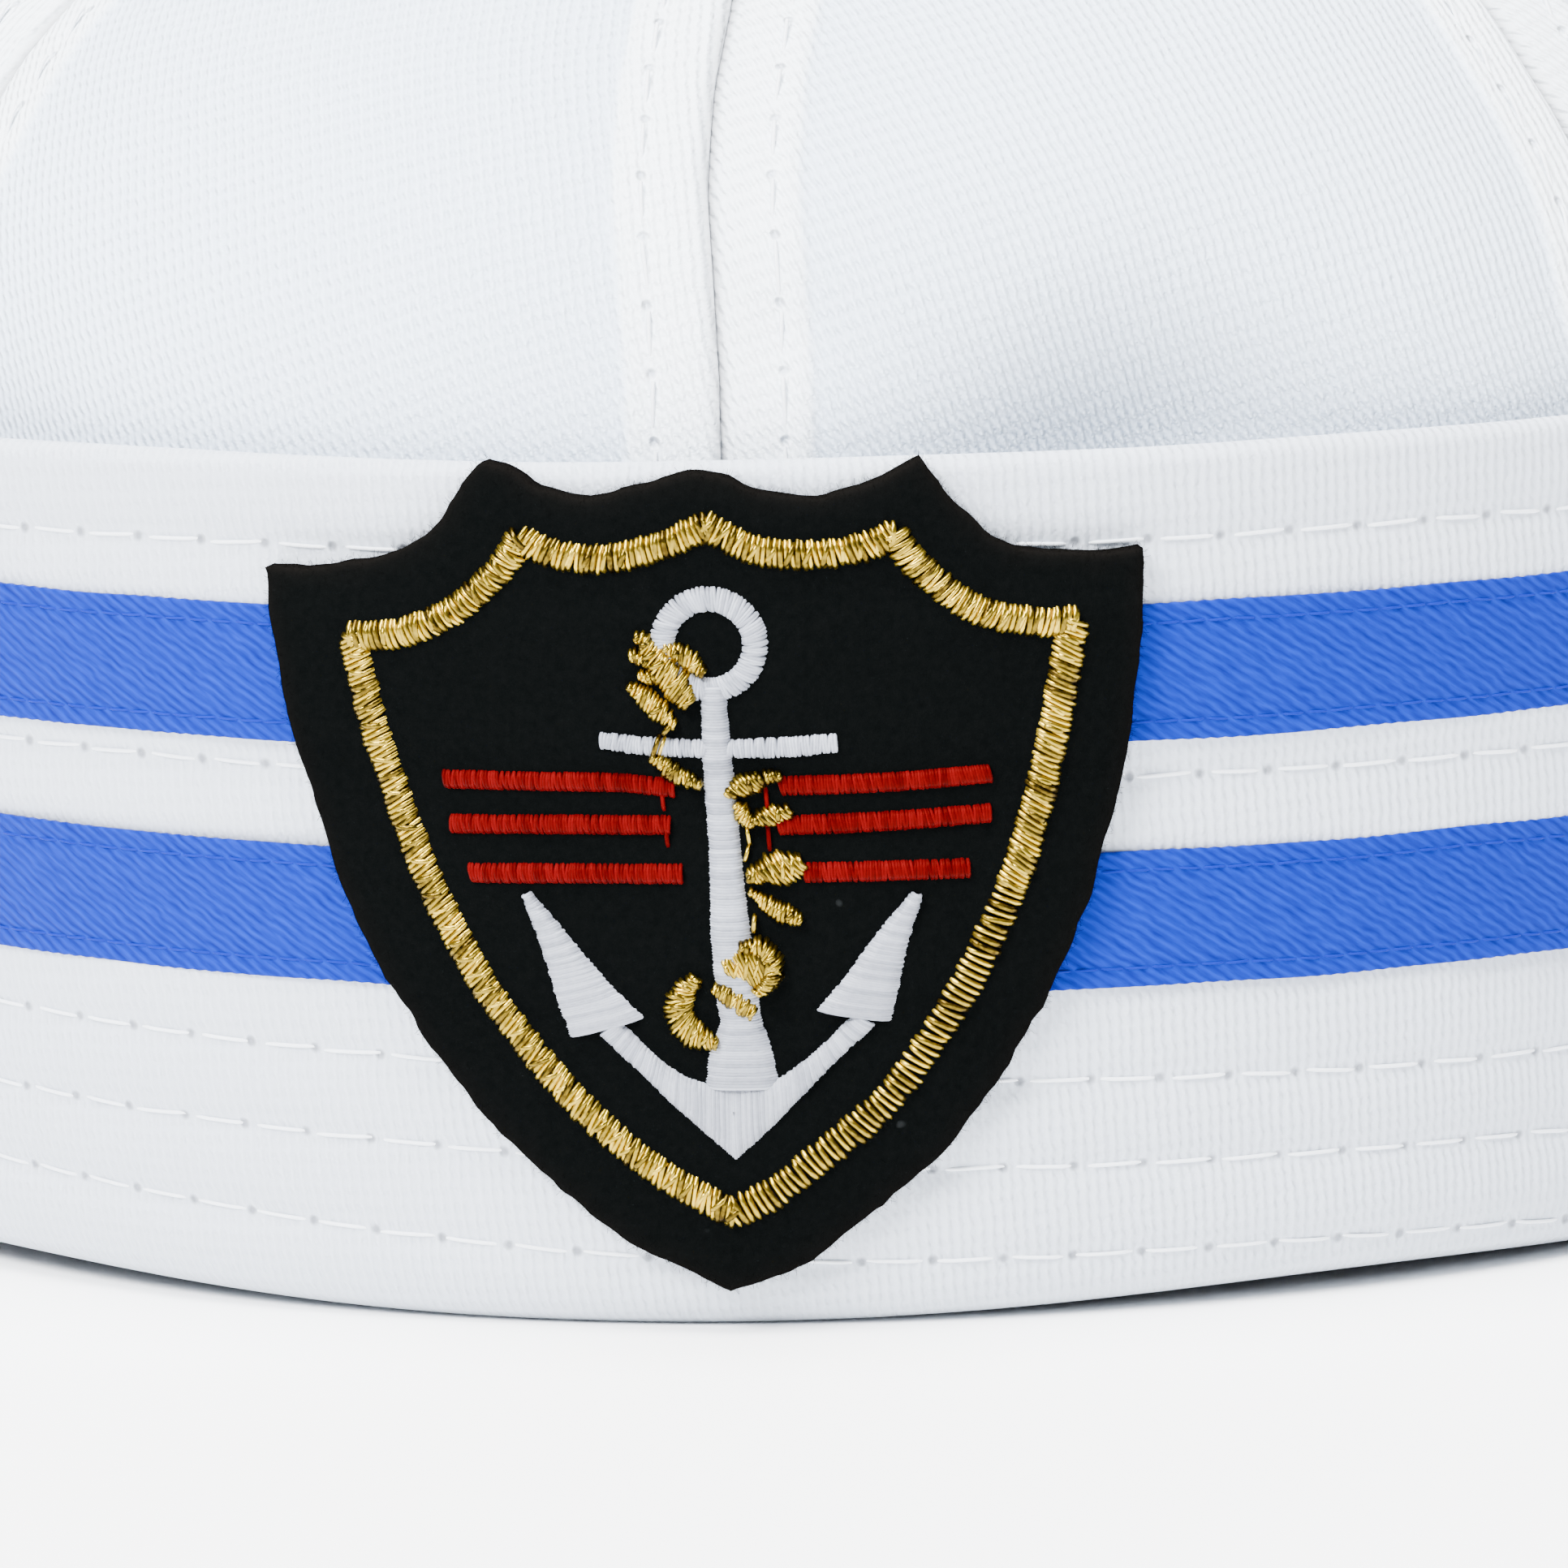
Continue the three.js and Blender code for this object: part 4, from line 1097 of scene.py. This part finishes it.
def smoothDirections(directions, reach=2):
    padded = np.pad(directions, ((reach, reach), (0, 0)), mode="edge")
    return unit(sum(padded[i:i + len(directions)] for i in range(2 * reach + 1)))


def insideOutline(points, outline):
    x, y = points[:, 0][:, None], points[:, 1][:, None]
    x0, y0 = outline[:, 0], outline[:, 1]
    x1, y1 = np.roll(x0, -1), np.roll(y0, -1)
    crosses = (y0 > y) != (y1 > y)
    at = x0 + (y - y0) * (x1 - x0) / np.where(y1 == y0, 1e-9, y1 - y0)
    return (crosses & (x < at)).sum(axis=1) % 2 == 1


def distanceTo(points, outline):
    return np.linalg.norm(points[:, None] - outline[None], axis=2).min(axis=1)


# the felt's flat shape as points and triangles
def cutFelt(outline, normals):
    rings = np.concatenate([outline - normals * inset for inset in patch["rings"]])
    step = patch["fillStep"]
    x, y = np.meshgrid(np.arange(-34, 34, step), np.arange(2, slopeHeight + 2, step))
    x = x + 0.5 * step * (np.arange(len(x)) % 2)[:, None]
    candidates = np.concatenate([rings, np.column_stack([x.ravel(), y.ravel()])])
    needed = np.where(np.arange(len(candidates)) < len(rings), patch["ringGap"], patch["fillGap"])
    keep = insideOutline(candidates, outline) & (distanceTo(candidates, outline) > needed)
    flat = np.concatenate([outline, candidates[keep]])
    count = len(outline)
    edges = [(i, (i + 1) % count) for i in range(count)]
    filled = geometry.delaunay_2d_cdt([Vector(p) for p in flat.tolist()], edges, [], 1, 1e-5)
    flat = np.array([tuple(p) for p in filled[0]])
    faces = [tuple(face) for face in filled[2]]
    # they may all turn either way, and the front ones face outwards
    first = flat[list(faces[0])]
    if np.cross(first[1] - first[0], first[2] - first[0]) < 0:
        faces = [face[::-1] for face in faces]
    return flat, faces


def buildPatch():
    runs = [evenly(curveThrough(run), patch["outlineStep"])[:-1] for run in patch["outline"]]
    outline = np.concatenate(runs)
    normals = sideways(outline, closed=True)
    cut = softLumps(np.column_stack([outline, np.zeros(len(outline))]), patch["cuts"])
    outline = outline + normals * cut[:, None]
    flat, faces = cutFelt(outline, normals)
    toEdge = distanceTo(flat, outline)
    lumps = softLumps(np.column_stack([flat, np.zeros(len(flat))]), patch["lumps"])
    height = flat[:, 1]
    azimuth = badgeAzimuth(flat[:, 0])
    pressed = patch["edgePress"] * np.exp(-toEdge / patch["pressReach"])
    front = brimPoint(azimuth, height, feltFace(height) - pressed + lumps)
    back = brimPoint(azimuth, height, feltBack(height))
    total = len(flat)
    allFaces = faces + [tuple(total + i for i in reversed(face)) for face in faces]
    # the walls between front and back follow the open edges of the fill
    sides = {(a, b): None for face in faces for a, b in zip(face, face[1:] + face[:1])}
    allFaces += [(a, total + a, total + b, b) for a, b in sides if (b, a) not in sides]
    mesh = bpy.data.meshes.new("patchFelt")
    mesh.from_pydata((np.concatenate([front, back]) * mm).tolist(), [], allFaces)
    piece = finishMesh(mesh, felt, {"edge": np.tile(np.exp(-toEdge / patch["edgeReach"]), 2)})
    wear(piece, ["patch"])
    return piece


patchPiece = buildPatch()


# Short fibres that stand out of the felt, most of them along its cut edge.
def fibreTree():
    tree, given, result = newTree("feltFibres", {
        "Density": "Float", "Fibre length": "Float", "Fibre radius": "Float", "Seed": "Int"})
    edge = addNode(tree, "GeometryNodeInputNamedAttribute", {"Name": "edge"}, data_type="FLOAT")
    amount = addNode(tree, "ShaderNodeMath", {0: edge, 1: given["Density"]}, operation="MULTIPLY")
    scattered = addNode(tree, "GeometryNodeDistributePointsOnFaces", {
        "Mesh": given["Geometry"], "Density": amount, "Seed": given["Seed"]}).outputs
    tip = addNode(tree, "ShaderNodeCombineXYZ", {"Z": given["Fibre length"]})
    line = addNode(tree, "GeometryNodeCurvePrimitiveLine", {"End": tip})
    bent = addNode(tree, "GeometryNodeResampleCurve", {"Curve": line, "Count": 4})
    place = addNode(tree, "GeometryNodeSplineParameter")
    curl = addNode(tree, "ShaderNodeMath", {0: place, 1: 2.0}, operation="POWER")
    sideStep = addNode(tree, "ShaderNodeMath", {0: curl, 1: given["Fibre length"]}, operation="MULTIPLY")
    aside = addNode(tree, "ShaderNodeCombineXYZ", {"X": sideStep})
    curled = addNode(tree, "GeometryNodeSetPosition", {"Geometry": bent, "Offset": aside})
    profile = addNode(
        tree, "GeometryNodeCurvePrimitiveCircle", {"Radius": given["Fibre radius"], "Resolution": 3})
    fibre = addNode(tree, "GeometryNodeCurveToMesh", {
        "Curve": curled, "Profile Curve": profile, "Fill Caps": True})
    tiltRange = {0: (-0.9, -0.9, 0), 1: (0.9, 0.9, fullTurn), "Seed": given["Seed"]}
    tilt = addNode(tree, "FunctionNodeRandomValue", tiltRange, data_type="FLOAT_VECTOR")
    asRotation = addNode(tree, "FunctionNodeEulerToRotation", {0: tilt})
    facing = addNode(
        tree, "FunctionNodeRotateRotation",
        {"Rotation": scattered["Rotation"], "Rotate By": asRotation}, rotation_space="LOCAL")
    sizeRange = {2: 0.35, 3: 1.0, "Seed": given["Seed"]}
    size = addNode(tree, "FunctionNodeRandomValue", sizeRange, data_type="FLOAT")
    placed = addNode(tree, "GeometryNodeInstanceOnPoints", {
        "Points": scattered["Points"], "Instance": fibre, "Rotation": facing, "Scale": size})
    return closeTree(tree, given, result, placed)


def growFuzz():
    piece = addObject("patchFuzz", patchPiece.data.copy())
    bakeTree(piece, fibreTree(), {
        "Density": 10.5e6,
        "Fibre length": 0.42 * mm,
        "Fibre radius": 0.014 * mm,
        "Seed": 3,
        "Material": felt,
    })
    wear(piece)


growFuzz()


print("embroidery")

embroidery = {
    "sink": 0.12,  # of a thread's ends below the felt's face
    "goldPitch": 0.4,
    "goldRadius": 0.25,
    "goldRise": 0.62,
    "finePitch": 0.21,  # of the white and red threads
    "fineRadius": 0.17,
    "borderWidth": 2.1,
    "combShare": 0.62,  # of the border's right side, where its threads stand apart
    "combPitch": 0.54,
    "ropePitch": 0.3,
    "ropeThread": 0.85,  # of the border's thread
    "stray": 0.12,  # of a thread along its line
    "barThickness": 1.25,
}


# threads from the points of one edge to those of the other: starts and ends are on the badge's plane
class Threads:
    def __init__(self):
        self.starts, self.ends, self.rises = [], [], []

    def add(self, starts, ends, rise):
        starts, ends = np.asarray(starts, float), np.asarray(ends, float)
        self.starts.append(starts)
        self.ends.append(ends)
        self.rises.append(np.broadcast_to(rise, len(starts)))

    # even threads between two edges, with ends that are a little ragged
    def bridge(self, first, second, pitch, rise, ragged, seed):
        length = max(cumulated(first)[-1], cumulated(second)[-1])
        shares = np.linspace(0, 1, max(2, round(length / pitch)))
        chance = np.random.default_rng(seed)
        a, b = alongPath(first, shares), alongPath(second, shares)
        along = (b - a) / np.maximum(np.linalg.norm(b - a, axis=1), 1e-6)[:, None]
        a = a - along * chance.uniform(-ragged, ragged, (len(a), 1))
        b = b + along * chance.uniform(-ragged, ragged, (len(b), 1))
        self.add(a, b, rise)

    # threads across a line, slanted by a share of the width
    def stroke(self, path, width, pitch, rise, ragged, slant, seed):
        points = evenly(path, pitch)
        count = len(points)
        across = smoothDirections(sideways(points))
        direction = np.stack([-across[:, 1], across[:, 0]], axis=-1)
        chance = np.random.default_rng(seed)
        width = np.interp(np.linspace(0, 1, count), np.linspace(0, 1, np.size(width)), np.ravel(width))
        tilt = direction * (slant * width)[:, None] / 2
        left = width / 2 + chance.uniform(-ragged, ragged, count)
        right = width / 2 + chance.uniform(-ragged, ragged, count)
        shift = tilt + direction * chance.uniform(-embroidery["stray"], embroidery["stray"], count)[:, None]
        self.add(points + across * left[:, None] + shift, points - across * right[:, None] - shift, rise)

    def sew(self, name, radius, material, nodes, seed, unevenness):
        starts, ends = np.concatenate(self.starts), np.concatenate(self.ends)
        rises = np.concatenate(self.rises)
        flat = np.stack([starts, ends], axis=1).reshape(-1, 2)
        azimuth = badgeAzimuth(flat[:, 0])
        points = brimPoint(azimuth, flat[:, 1], feltFace(flat[:, 1]) - embroidery["sink"])
        outward = brimOutward(azimuth) * (np.repeat(rises, 2) * mm)[:, None]
        edges = [(2 * i, 2 * i + 1) for i in range(len(starts))]
        piece = lineMesh(name, points, edges, outward)
        bakeTree(piece, satinThreads, {
            "Thread radius": radius * mm,
            "Steps": 9,
            "Sides": 6,
            "Unevenness": unevenness,
            "Seed": seed,
            "Material": material,
        })
        wear(piece, nodes)


def threadName(nodeName):
    first, *others = nodeName.split("_")
    return first + "".join(word.capitalize() for word in others) + "Threads"


# middle of the border, from its tip up the right side, over the top and down the left side
borderLine = {
    "right": [
        (0.3, 9.4), (3.7, 11.2), (11.6, 17.5), (16.7, 24.5), (20.2, 31.5), (22.8, 38.6), (24.2, 45.6),
        (25.4, 52.3),
    ],
    "rightSwoop": [(25.4, 52.3), (22.3, 52.4), (18.3, 53.5), (14.6, 56.5), (12.8, 58.9)],
    "top": [(12.8, 58.9), (10.5, 58.0), (7.0, 57.6), (3.2, 58.0), (-0.2, 59.8)],
    "topLeft": [(-0.2, 59.8), (-3.3, 58.4), (-7.3, 57.4), (-11.0, 57.8), (-13.4, 58.8)],
    "leftSwoop": [(-13.4, 58.8), (-15.4, 56.1), (-19.0, 53.3), (-22.6, 51.9), (-26.0, 51.6)],
    "left": [
        (-26.0, 51.6), (-25.0, 46.0), (-23.2, 38.9), (-20.4, 31.8), (-16.6, 24.7), (-11.1, 17.6),
        (-5.0, 12.4), (0.3, 9.4),
    ],
}
# share of the border's width, raggedness, slant and seed of each run
borderStrokes = {
    "right": (1, 0.1, -0.3, 62),
    "rightSwoop": (0.9, 0.09, -0.12, 63),
    "top": (0.9, 0.09, 0.12, 64),
    "topLeft": (0.9, 0.09, -0.12, 65),
    "leftSwoop": (0.9, 0.09, 0.12, 66),
    "left": (0.95, 0.1, 0.3, 68),
}


def sewBorder():
    threads = Threads()
    width, pitch, rise = embroidery["borderWidth"], embroidery["goldPitch"], embroidery["goldRise"]
    runs = {name: evenly(curveThrough(points), 0.4) for name, points in borderLine.items()}
    # low on the right side the threads stand apart like a comb, elsewhere they lie close
    comb = round(embroidery["combShare"] * len(runs["right"]))
    threads.stroke(runs["right"][:comb + 1], width, embroidery["combPitch"], 0.6, 0.13, 0.05, 61)
    runs["right"] = runs["right"][comb:]
    for name, (share, ragged, slant, seed) in borderStrokes.items():
        threads.stroke(runs[name], width * share, pitch, rise, ragged, slant, seed)
    # a second, sparser pass leans the other way
    for number, name in enumerate(runs):
        threads.stroke(runs[name], width * 0.7, 1.3, 0.7, 0.15, -0.3, 70 + number)
    threads.sew(
        "borderThreads", embroidery["goldRadius"], goldThread, ["patch_border"], 64, 0.22)


# points in mm across and up from the badge's own middle
anchorForm = {
    "ringCentre": (-0.2, 51.3),
    "ringRadius": 4.15,
    "ringHole": 2.35,
    "stock": [(-8.0, 44.35), (-4.5, 43.95), (0.2, 43.75), (4.5, 43.8), (8.5, 44.05)],
    "stockWidth": [1.0, 1.15, 1.15, 1.15, 1.3, 1.25],
    "shankLeft": [
        (-0.75, 48.2), (-0.8, 45.0), (-0.8, 42.0), (-0.55, 34.8), (-0.6, 30.0), (-0.35, 25.5),
        (-0.2, 23.6), (-0.95, 21.6), (-1.35, 19.4), (-1.4, 18.8),
    ],
    "shankRight": [
        (0.75, 48.2), (0.95, 45.0), (1.15, 42.0), (1.65, 34.8), (2.15, 30.0), (2.55, 25.5),
        (2.75, 23.6), (3.35, 21.6), (3.75, 19.4), (3.8, 18.8),
    ],
    "armsUpperLeft": [(-7.6, 23.6), (-5.8, 21.7), (-4.3, 20.4), (-2.3, 19.3), (0.6, 18.7)],
    "armsLowerLeft": [(-9.0, 22.6), (-5.9, 19.6), (-4.2, 17.9), (-2.4, 16.2), (0.6, 13.5)],
    "armsUpperRight": [(9.5, 24.0), (6.9, 21.5), (4.9, 19.9), (3.3, 19.1), (0.6, 18.7)],
    "armsLowerRight": [(10.9, 23.2), (8.3, 20.9), (5.5, 18.1), (3.1, 15.7), (0.6, 13.5)],
    "flukeOuterLeft": [(-14.2, 32.9), (-12.8, 28.3), (-11.4, 22.5)],
    "flukeInnerLeft": [(-13.7, 33.1), (-10.9, 29.7), (-8.6, 26.9), (-5.9, 24.0)],
    "flukeOuterRight": [(14.4, 32.7), (13.4, 29.3), (12.1, 23.6)],
    "flukeInnerRight": [(13.8, 32.9), (11.1, 29.8), (9.3, 27.3), (6.9, 24.5)],
}
# two edges, then share of the pitch, rise, raggedness and seed of the threads between them
anchorBridges = [
    ("shankLeft", "shankRight", 1, 0.66, 0.05, 73),
    ("armsLowerLeft", "armsUpperLeft", 0.9, 0.55, 0.05, 74),
    ("flukeInnerLeft", "flukeOuterLeft", 0.92, 0.6, 0.07, 77),
    ("armsLowerRight", "armsUpperRight", 0.9, 0.55, 0.05, 75),
    ("flukeInnerRight", "flukeOuterRight", 0.92, 0.6, 0.07, 78),
]


def sewAnchor():
    threads = Threads()
    pitch = embroidery["finePitch"]
    outer, hole = anchorForm["ringRadius"], anchorForm["ringHole"]
    angle = np.linspace(0, fullTurn, 97)
    circle = np.stack([np.sin(angle), -np.cos(angle)], axis=-1)
    ring = np.array(anchorForm["ringCentre"]) + circle * ((outer + hole) / 2)
    threads.stroke(ring, outer - hole - 0.2, pitch, 0.5, 0.04, 0.2, 71)
    threads.stroke(curveThrough(anchorForm["stock"]), anchorForm["stockWidth"], pitch, 0.46, 0.05, 0.0, 72)
    for first, second, share, rise, ragged, seed in anchorBridges:
        edges = curveThrough(anchorForm[first]), curveThrough(anchorForm[second])
        threads.bridge(*edges, pitch * share, rise, ragged, seed)
    threads.sew(
        "anchorThreads", embroidery["fineRadius"], whiteThread, ["anchor"], 80, 0.08)


# each bit of rope stands for one solid, sewn as strokes: a line on the badge, widths along it, and rise
ropeBits = {
    "rope_ring": [
        ([(-4.7, 51.5), (-4.1, 50.5), (-3.2, 49.3), (-2.3, 48.2), (-1.7, 47.3)],
         [1.0, 2.0, 2.4, 2.3, 1.5], 1.05),
        ([(-3.2, 51.1), (-1.9, 50.5), (-0.7, 49.4)], [0.7, 1.3, 1.4, 0.8], 0.85),
        ([(-5.2, 51.9), (-4.4, 51.5)], [0.8, 1.0, 0.7], 0.7),
        ([(-5.6, 50.6), (-4.6, 50.2)], [0.7, 1.0, 0.7], 0.7),
        ([(-5.1, 49.1), (-4.1, 49.0)], [0.6, 1.0, 0.7], 0.7),
    ],
    "rope_tail": [([(-5.8, 48.3), (-4.3, 47.0), (-2.8, 45.6)], [0.5, 1.4, 1.7, 1.4, 0.7], 0.75)],
    "rope_turn_1": [([(-4.4, 43.1), (-2.9, 41.9), (-1.2, 41.1)], [0.5, 1.1, 1.3, 1.1, 0.6], 0.75)],
    "rope_turn_2": [
        ([(0.8, 40.4), (2.0, 41.0), (3.2, 41.5)], [0.5, 1.6, 1.7, 1.0], 0.9),
        ([(3.6, 41.6), (4.5, 41.7)], [0.8, 1.1, 0.6], 0.75),
    ],
    "rope_turn_3": [
        ([(1.4, 39.6), (1.9, 38.8), (2.5, 38.3)], [0.5, 1.3, 1.3, 0.7], 0.85),
        ([(2.8, 38.4), (3.8, 38.7), (5.1, 39.2)], [0.9, 1.5, 1.6, 0.8], 0.8),
    ],
    "rope_turn_4": [
        ([(2.2, 34.4), (3.0, 34.6)], [0.8, 1.5, 1.2], 0.8),
        ([(3.2, 34.7), (4.3, 34.9), (5.9, 35.5)], [1.5, 2.4, 2.5, 1.3], 0.9),
    ],
    "rope_turn_5": [([(2.3, 33.3), (3.8, 32.1), (5.7, 31.2)], [0.4, 1.0, 1.3, 1.4, 0.9], 0.75)],
    "rope_loop": [
        ([(0.4, 27.8), (2.2, 27.8), (4.0, 27.7)], [1.3, 2.8, 3.5, 3.6, 3.1, 1.6], 1.0),
        ([(1.6, 29.4), (2.9, 29.2), (3.6, 28.3), (3.5, 26.9), (2.6, 26.0)],
         [0.7, 1.3, 1.5, 1.4, 0.8], 1.25),
    ],
    "rope_cross": [
        ([(-0.5, 26.2), (0.6, 25.6), (1.4, 25.0), (2.1, 24.4)], [0.7, 1.4, 1.7, 1.8, 1.2], 1.05),
    ],
    "rope_end": [
        ([(-1.9, 27.0), (-2.9, 25.9), (-3.2, 24.3), (-2.4, 22.9), (-0.6, 22.1)],
         [0.9, 1.8, 2.2, 2.0, 1.0], 0.75),
    ],
}
# loose strands that lead from one bit of rope to the next
ropeTrails = {
    "rope_tail": [((-3.0, 45.6), (-3.6, 44.9)), ((-3.9, 44.7), (-4.4, 43.2)), ((-3.5, 44.6), (-4.0, 43.2))],
    "rope_turn_3": [((2.1, 38.0), (2.3, 36.6)), ((2.2, 36.6), (1.9, 35.5))],
    "rope_turn_5": [((2.5, 31.6), (2.4, 30.3))],
}


def sewRope():
    radius = embroidery["goldRadius"] * embroidery["ropeThread"]
    for number, (nodeName, strokes) in enumerate(ropeBits.items()):
        threads = Threads()
        for turn, (line, widths, rise) in enumerate(strokes):
            path, widths = curveThrough(line), np.array(widths)
            seed = 90 + 5 * number + turn
            threads.stroke(path, widths, embroidery["ropePitch"], rise, 0.1, 0.4, seed)
            # looser threads lie over them the other way
            threads.stroke(path, widths * 0.6, 0.8, rise + 0.15, 0.12, -0.2, seed + 60)
        for first, last in ropeTrails.get(nodeName, ()):
            threads.add([first], [last], 0.72)
        threads.sew(
            threadName(nodeName), radius, goldThread, [nodeName], 230 + number, 0.3)


# the three bars on each side, in mm across and up
barLines = {
    "bar_left_top": [(-19.7, 41.3), (-11.0, 41.25), (-6.7, 41.2), (-3.1, 40.8)],
    "bar_left_middle": [(-19.4, 38.0), (-11.0, 38.1), (-3.5, 38.1)],
    "bar_left_bottom": [(-18.0, 34.5), (-9.0, 34.6), (-2.7, 34.6)],
    "bar_right_top": [(4.6, 40.9), (12.0, 41.0), (19.4, 41.4)],
    "bar_right_middle": [(4.4, 38.0), (12.0, 38.15), (19.4, 38.5)],
    "bar_right_bottom": [(6.2, 34.6), (12.0, 34.6), (17.8, 34.6)],
}
# thin threads that join one bar to the next
barTrails = {
    "bar_left_top": [((-3.9, 40.7), (-3.8, 39.2))],
    "bar_left_middle": [((-3.7, 38.2), (-3.6, 36.5))],
    "bar_right_top": [((3.5, 40.8), (3.6, 39.2))],
    "bar_right_middle": [((3.9, 38.6), (3.4, 38.0)), ((3.6, 38.0), (3.7, 36.2))],
}


def sewBars():
    pitch, radius = embroidery["finePitch"], embroidery["fineRadius"]
    for number, (nodeName, line) in enumerate(barLines.items()):
        threads = Threads()
        threads.stroke(curveThrough(line), embroidery["barThickness"], pitch, 0.5, 0.03, 0.12, 150 + number)
        for first, last in barTrails.get(nodeName, ()):
            threads.add([first], [last], 0.35)
        threads.sew(threadName(nodeName), radius, redThread, [nodeName], 160 + number, 0.08)


sewBorder()
sewAnchor()
sewRope()
sewBars()


print("studio")

studio = {
    "floorSize": 12.0,
    "floorColour": "#fcfcfc",
    "worldColour": "#eef5ff",
    "worldStrength": 0.68,
    "aim": (0, 0, 0.05),
    # place, size and watts, in metres from the cap's foot
    "lights": {
        "keyLight": ((-0.9, -1.5, 1.5), 0.9, 172),
        "topLight": ((0.0, -0.5, 2.2), 1.6, 240),
        "backLight": ((0.3, 1.9, 1.3), 1.2, 40),
    },
}


def buildFloor():
    half = studio["floorSize"] / 2
    mesh = bpy.data.meshes.new("floor")
    corners = [(-half, -half, 0), (half, -half, 0), (half, half, 0), (-half, half, 0)]
    mesh.from_pydata(corners, [], [(0, 1, 2, 3)])
    # Painted board: plain, matt and nearly white.
    material, _, surface = newMaterial("paintedBoard")
    plug(surface, {"Base Color": toLinear(studio["floorColour"]), "Roughness": 0.9})
    mesh.materials.append(material)
    addObject("floor", mesh)


def addLight(name, place, size, power):
    light = bpy.data.lights.new(name, "AREA")
    light.shape = "DISK"
    light.size = size
    light.energy = power
    lamp = addObject(name, light)
    lamp.location = place
    lamp.rotation_mode = "QUATERNION"
    lamp.rotation_quaternion = (Vector(studio["aim"]) - Vector(place)).to_track_quat("-Z", "Y")
    lamp.visible_camera = False


def lightStudio():
    world = bpy.data.worlds.new("studio")
    world.use_nodes = True
    background = world.node_tree.nodes["Background"]
    plug(background, {"Color": toLinear(studio["worldColour"]), "Strength": studio["worldStrength"]})
    bpy.context.scene.world = world
    for name, light in studio["lights"].items():
        addLight(name, *light)


camera = {
    "target": (3.9, -101.0, 40.3),
    "distance": 700.0,
    "azimuth": math.radians(4.55),
    "elevation": math.radians(8.98),
    "roll": math.radians(-1.21),
    "lens": 226.2,
}


def placeCamera():
    data = bpy.data.cameras.new("camera")
    data.sensor_width = 36
    data.lens = camera["lens"]
    data.clip_start, data.clip_end = 0.05, 50
    a, e = camera["azimuth"], camera["elevation"]
    back = Vector((math.sin(a) * math.cos(e), -math.cos(a) * math.cos(e), math.sin(e)))
    shot = addObject("camera", data)
    shot.rotation_mode = "QUATERNION"
    shot.location = (Vector(camera["target"]) + back * camera["distance"]) * mm
    level = (-back).to_track_quat("-Z", "Y").to_matrix()
    shot.rotation_quaternion = (level @ Matrix.Rotation(camera["roll"], 3, "Z")).to_quaternion()
    bpy.context.scene.camera = shot


buildFloor()
lightStudio()
placeCamera()

print("finished")
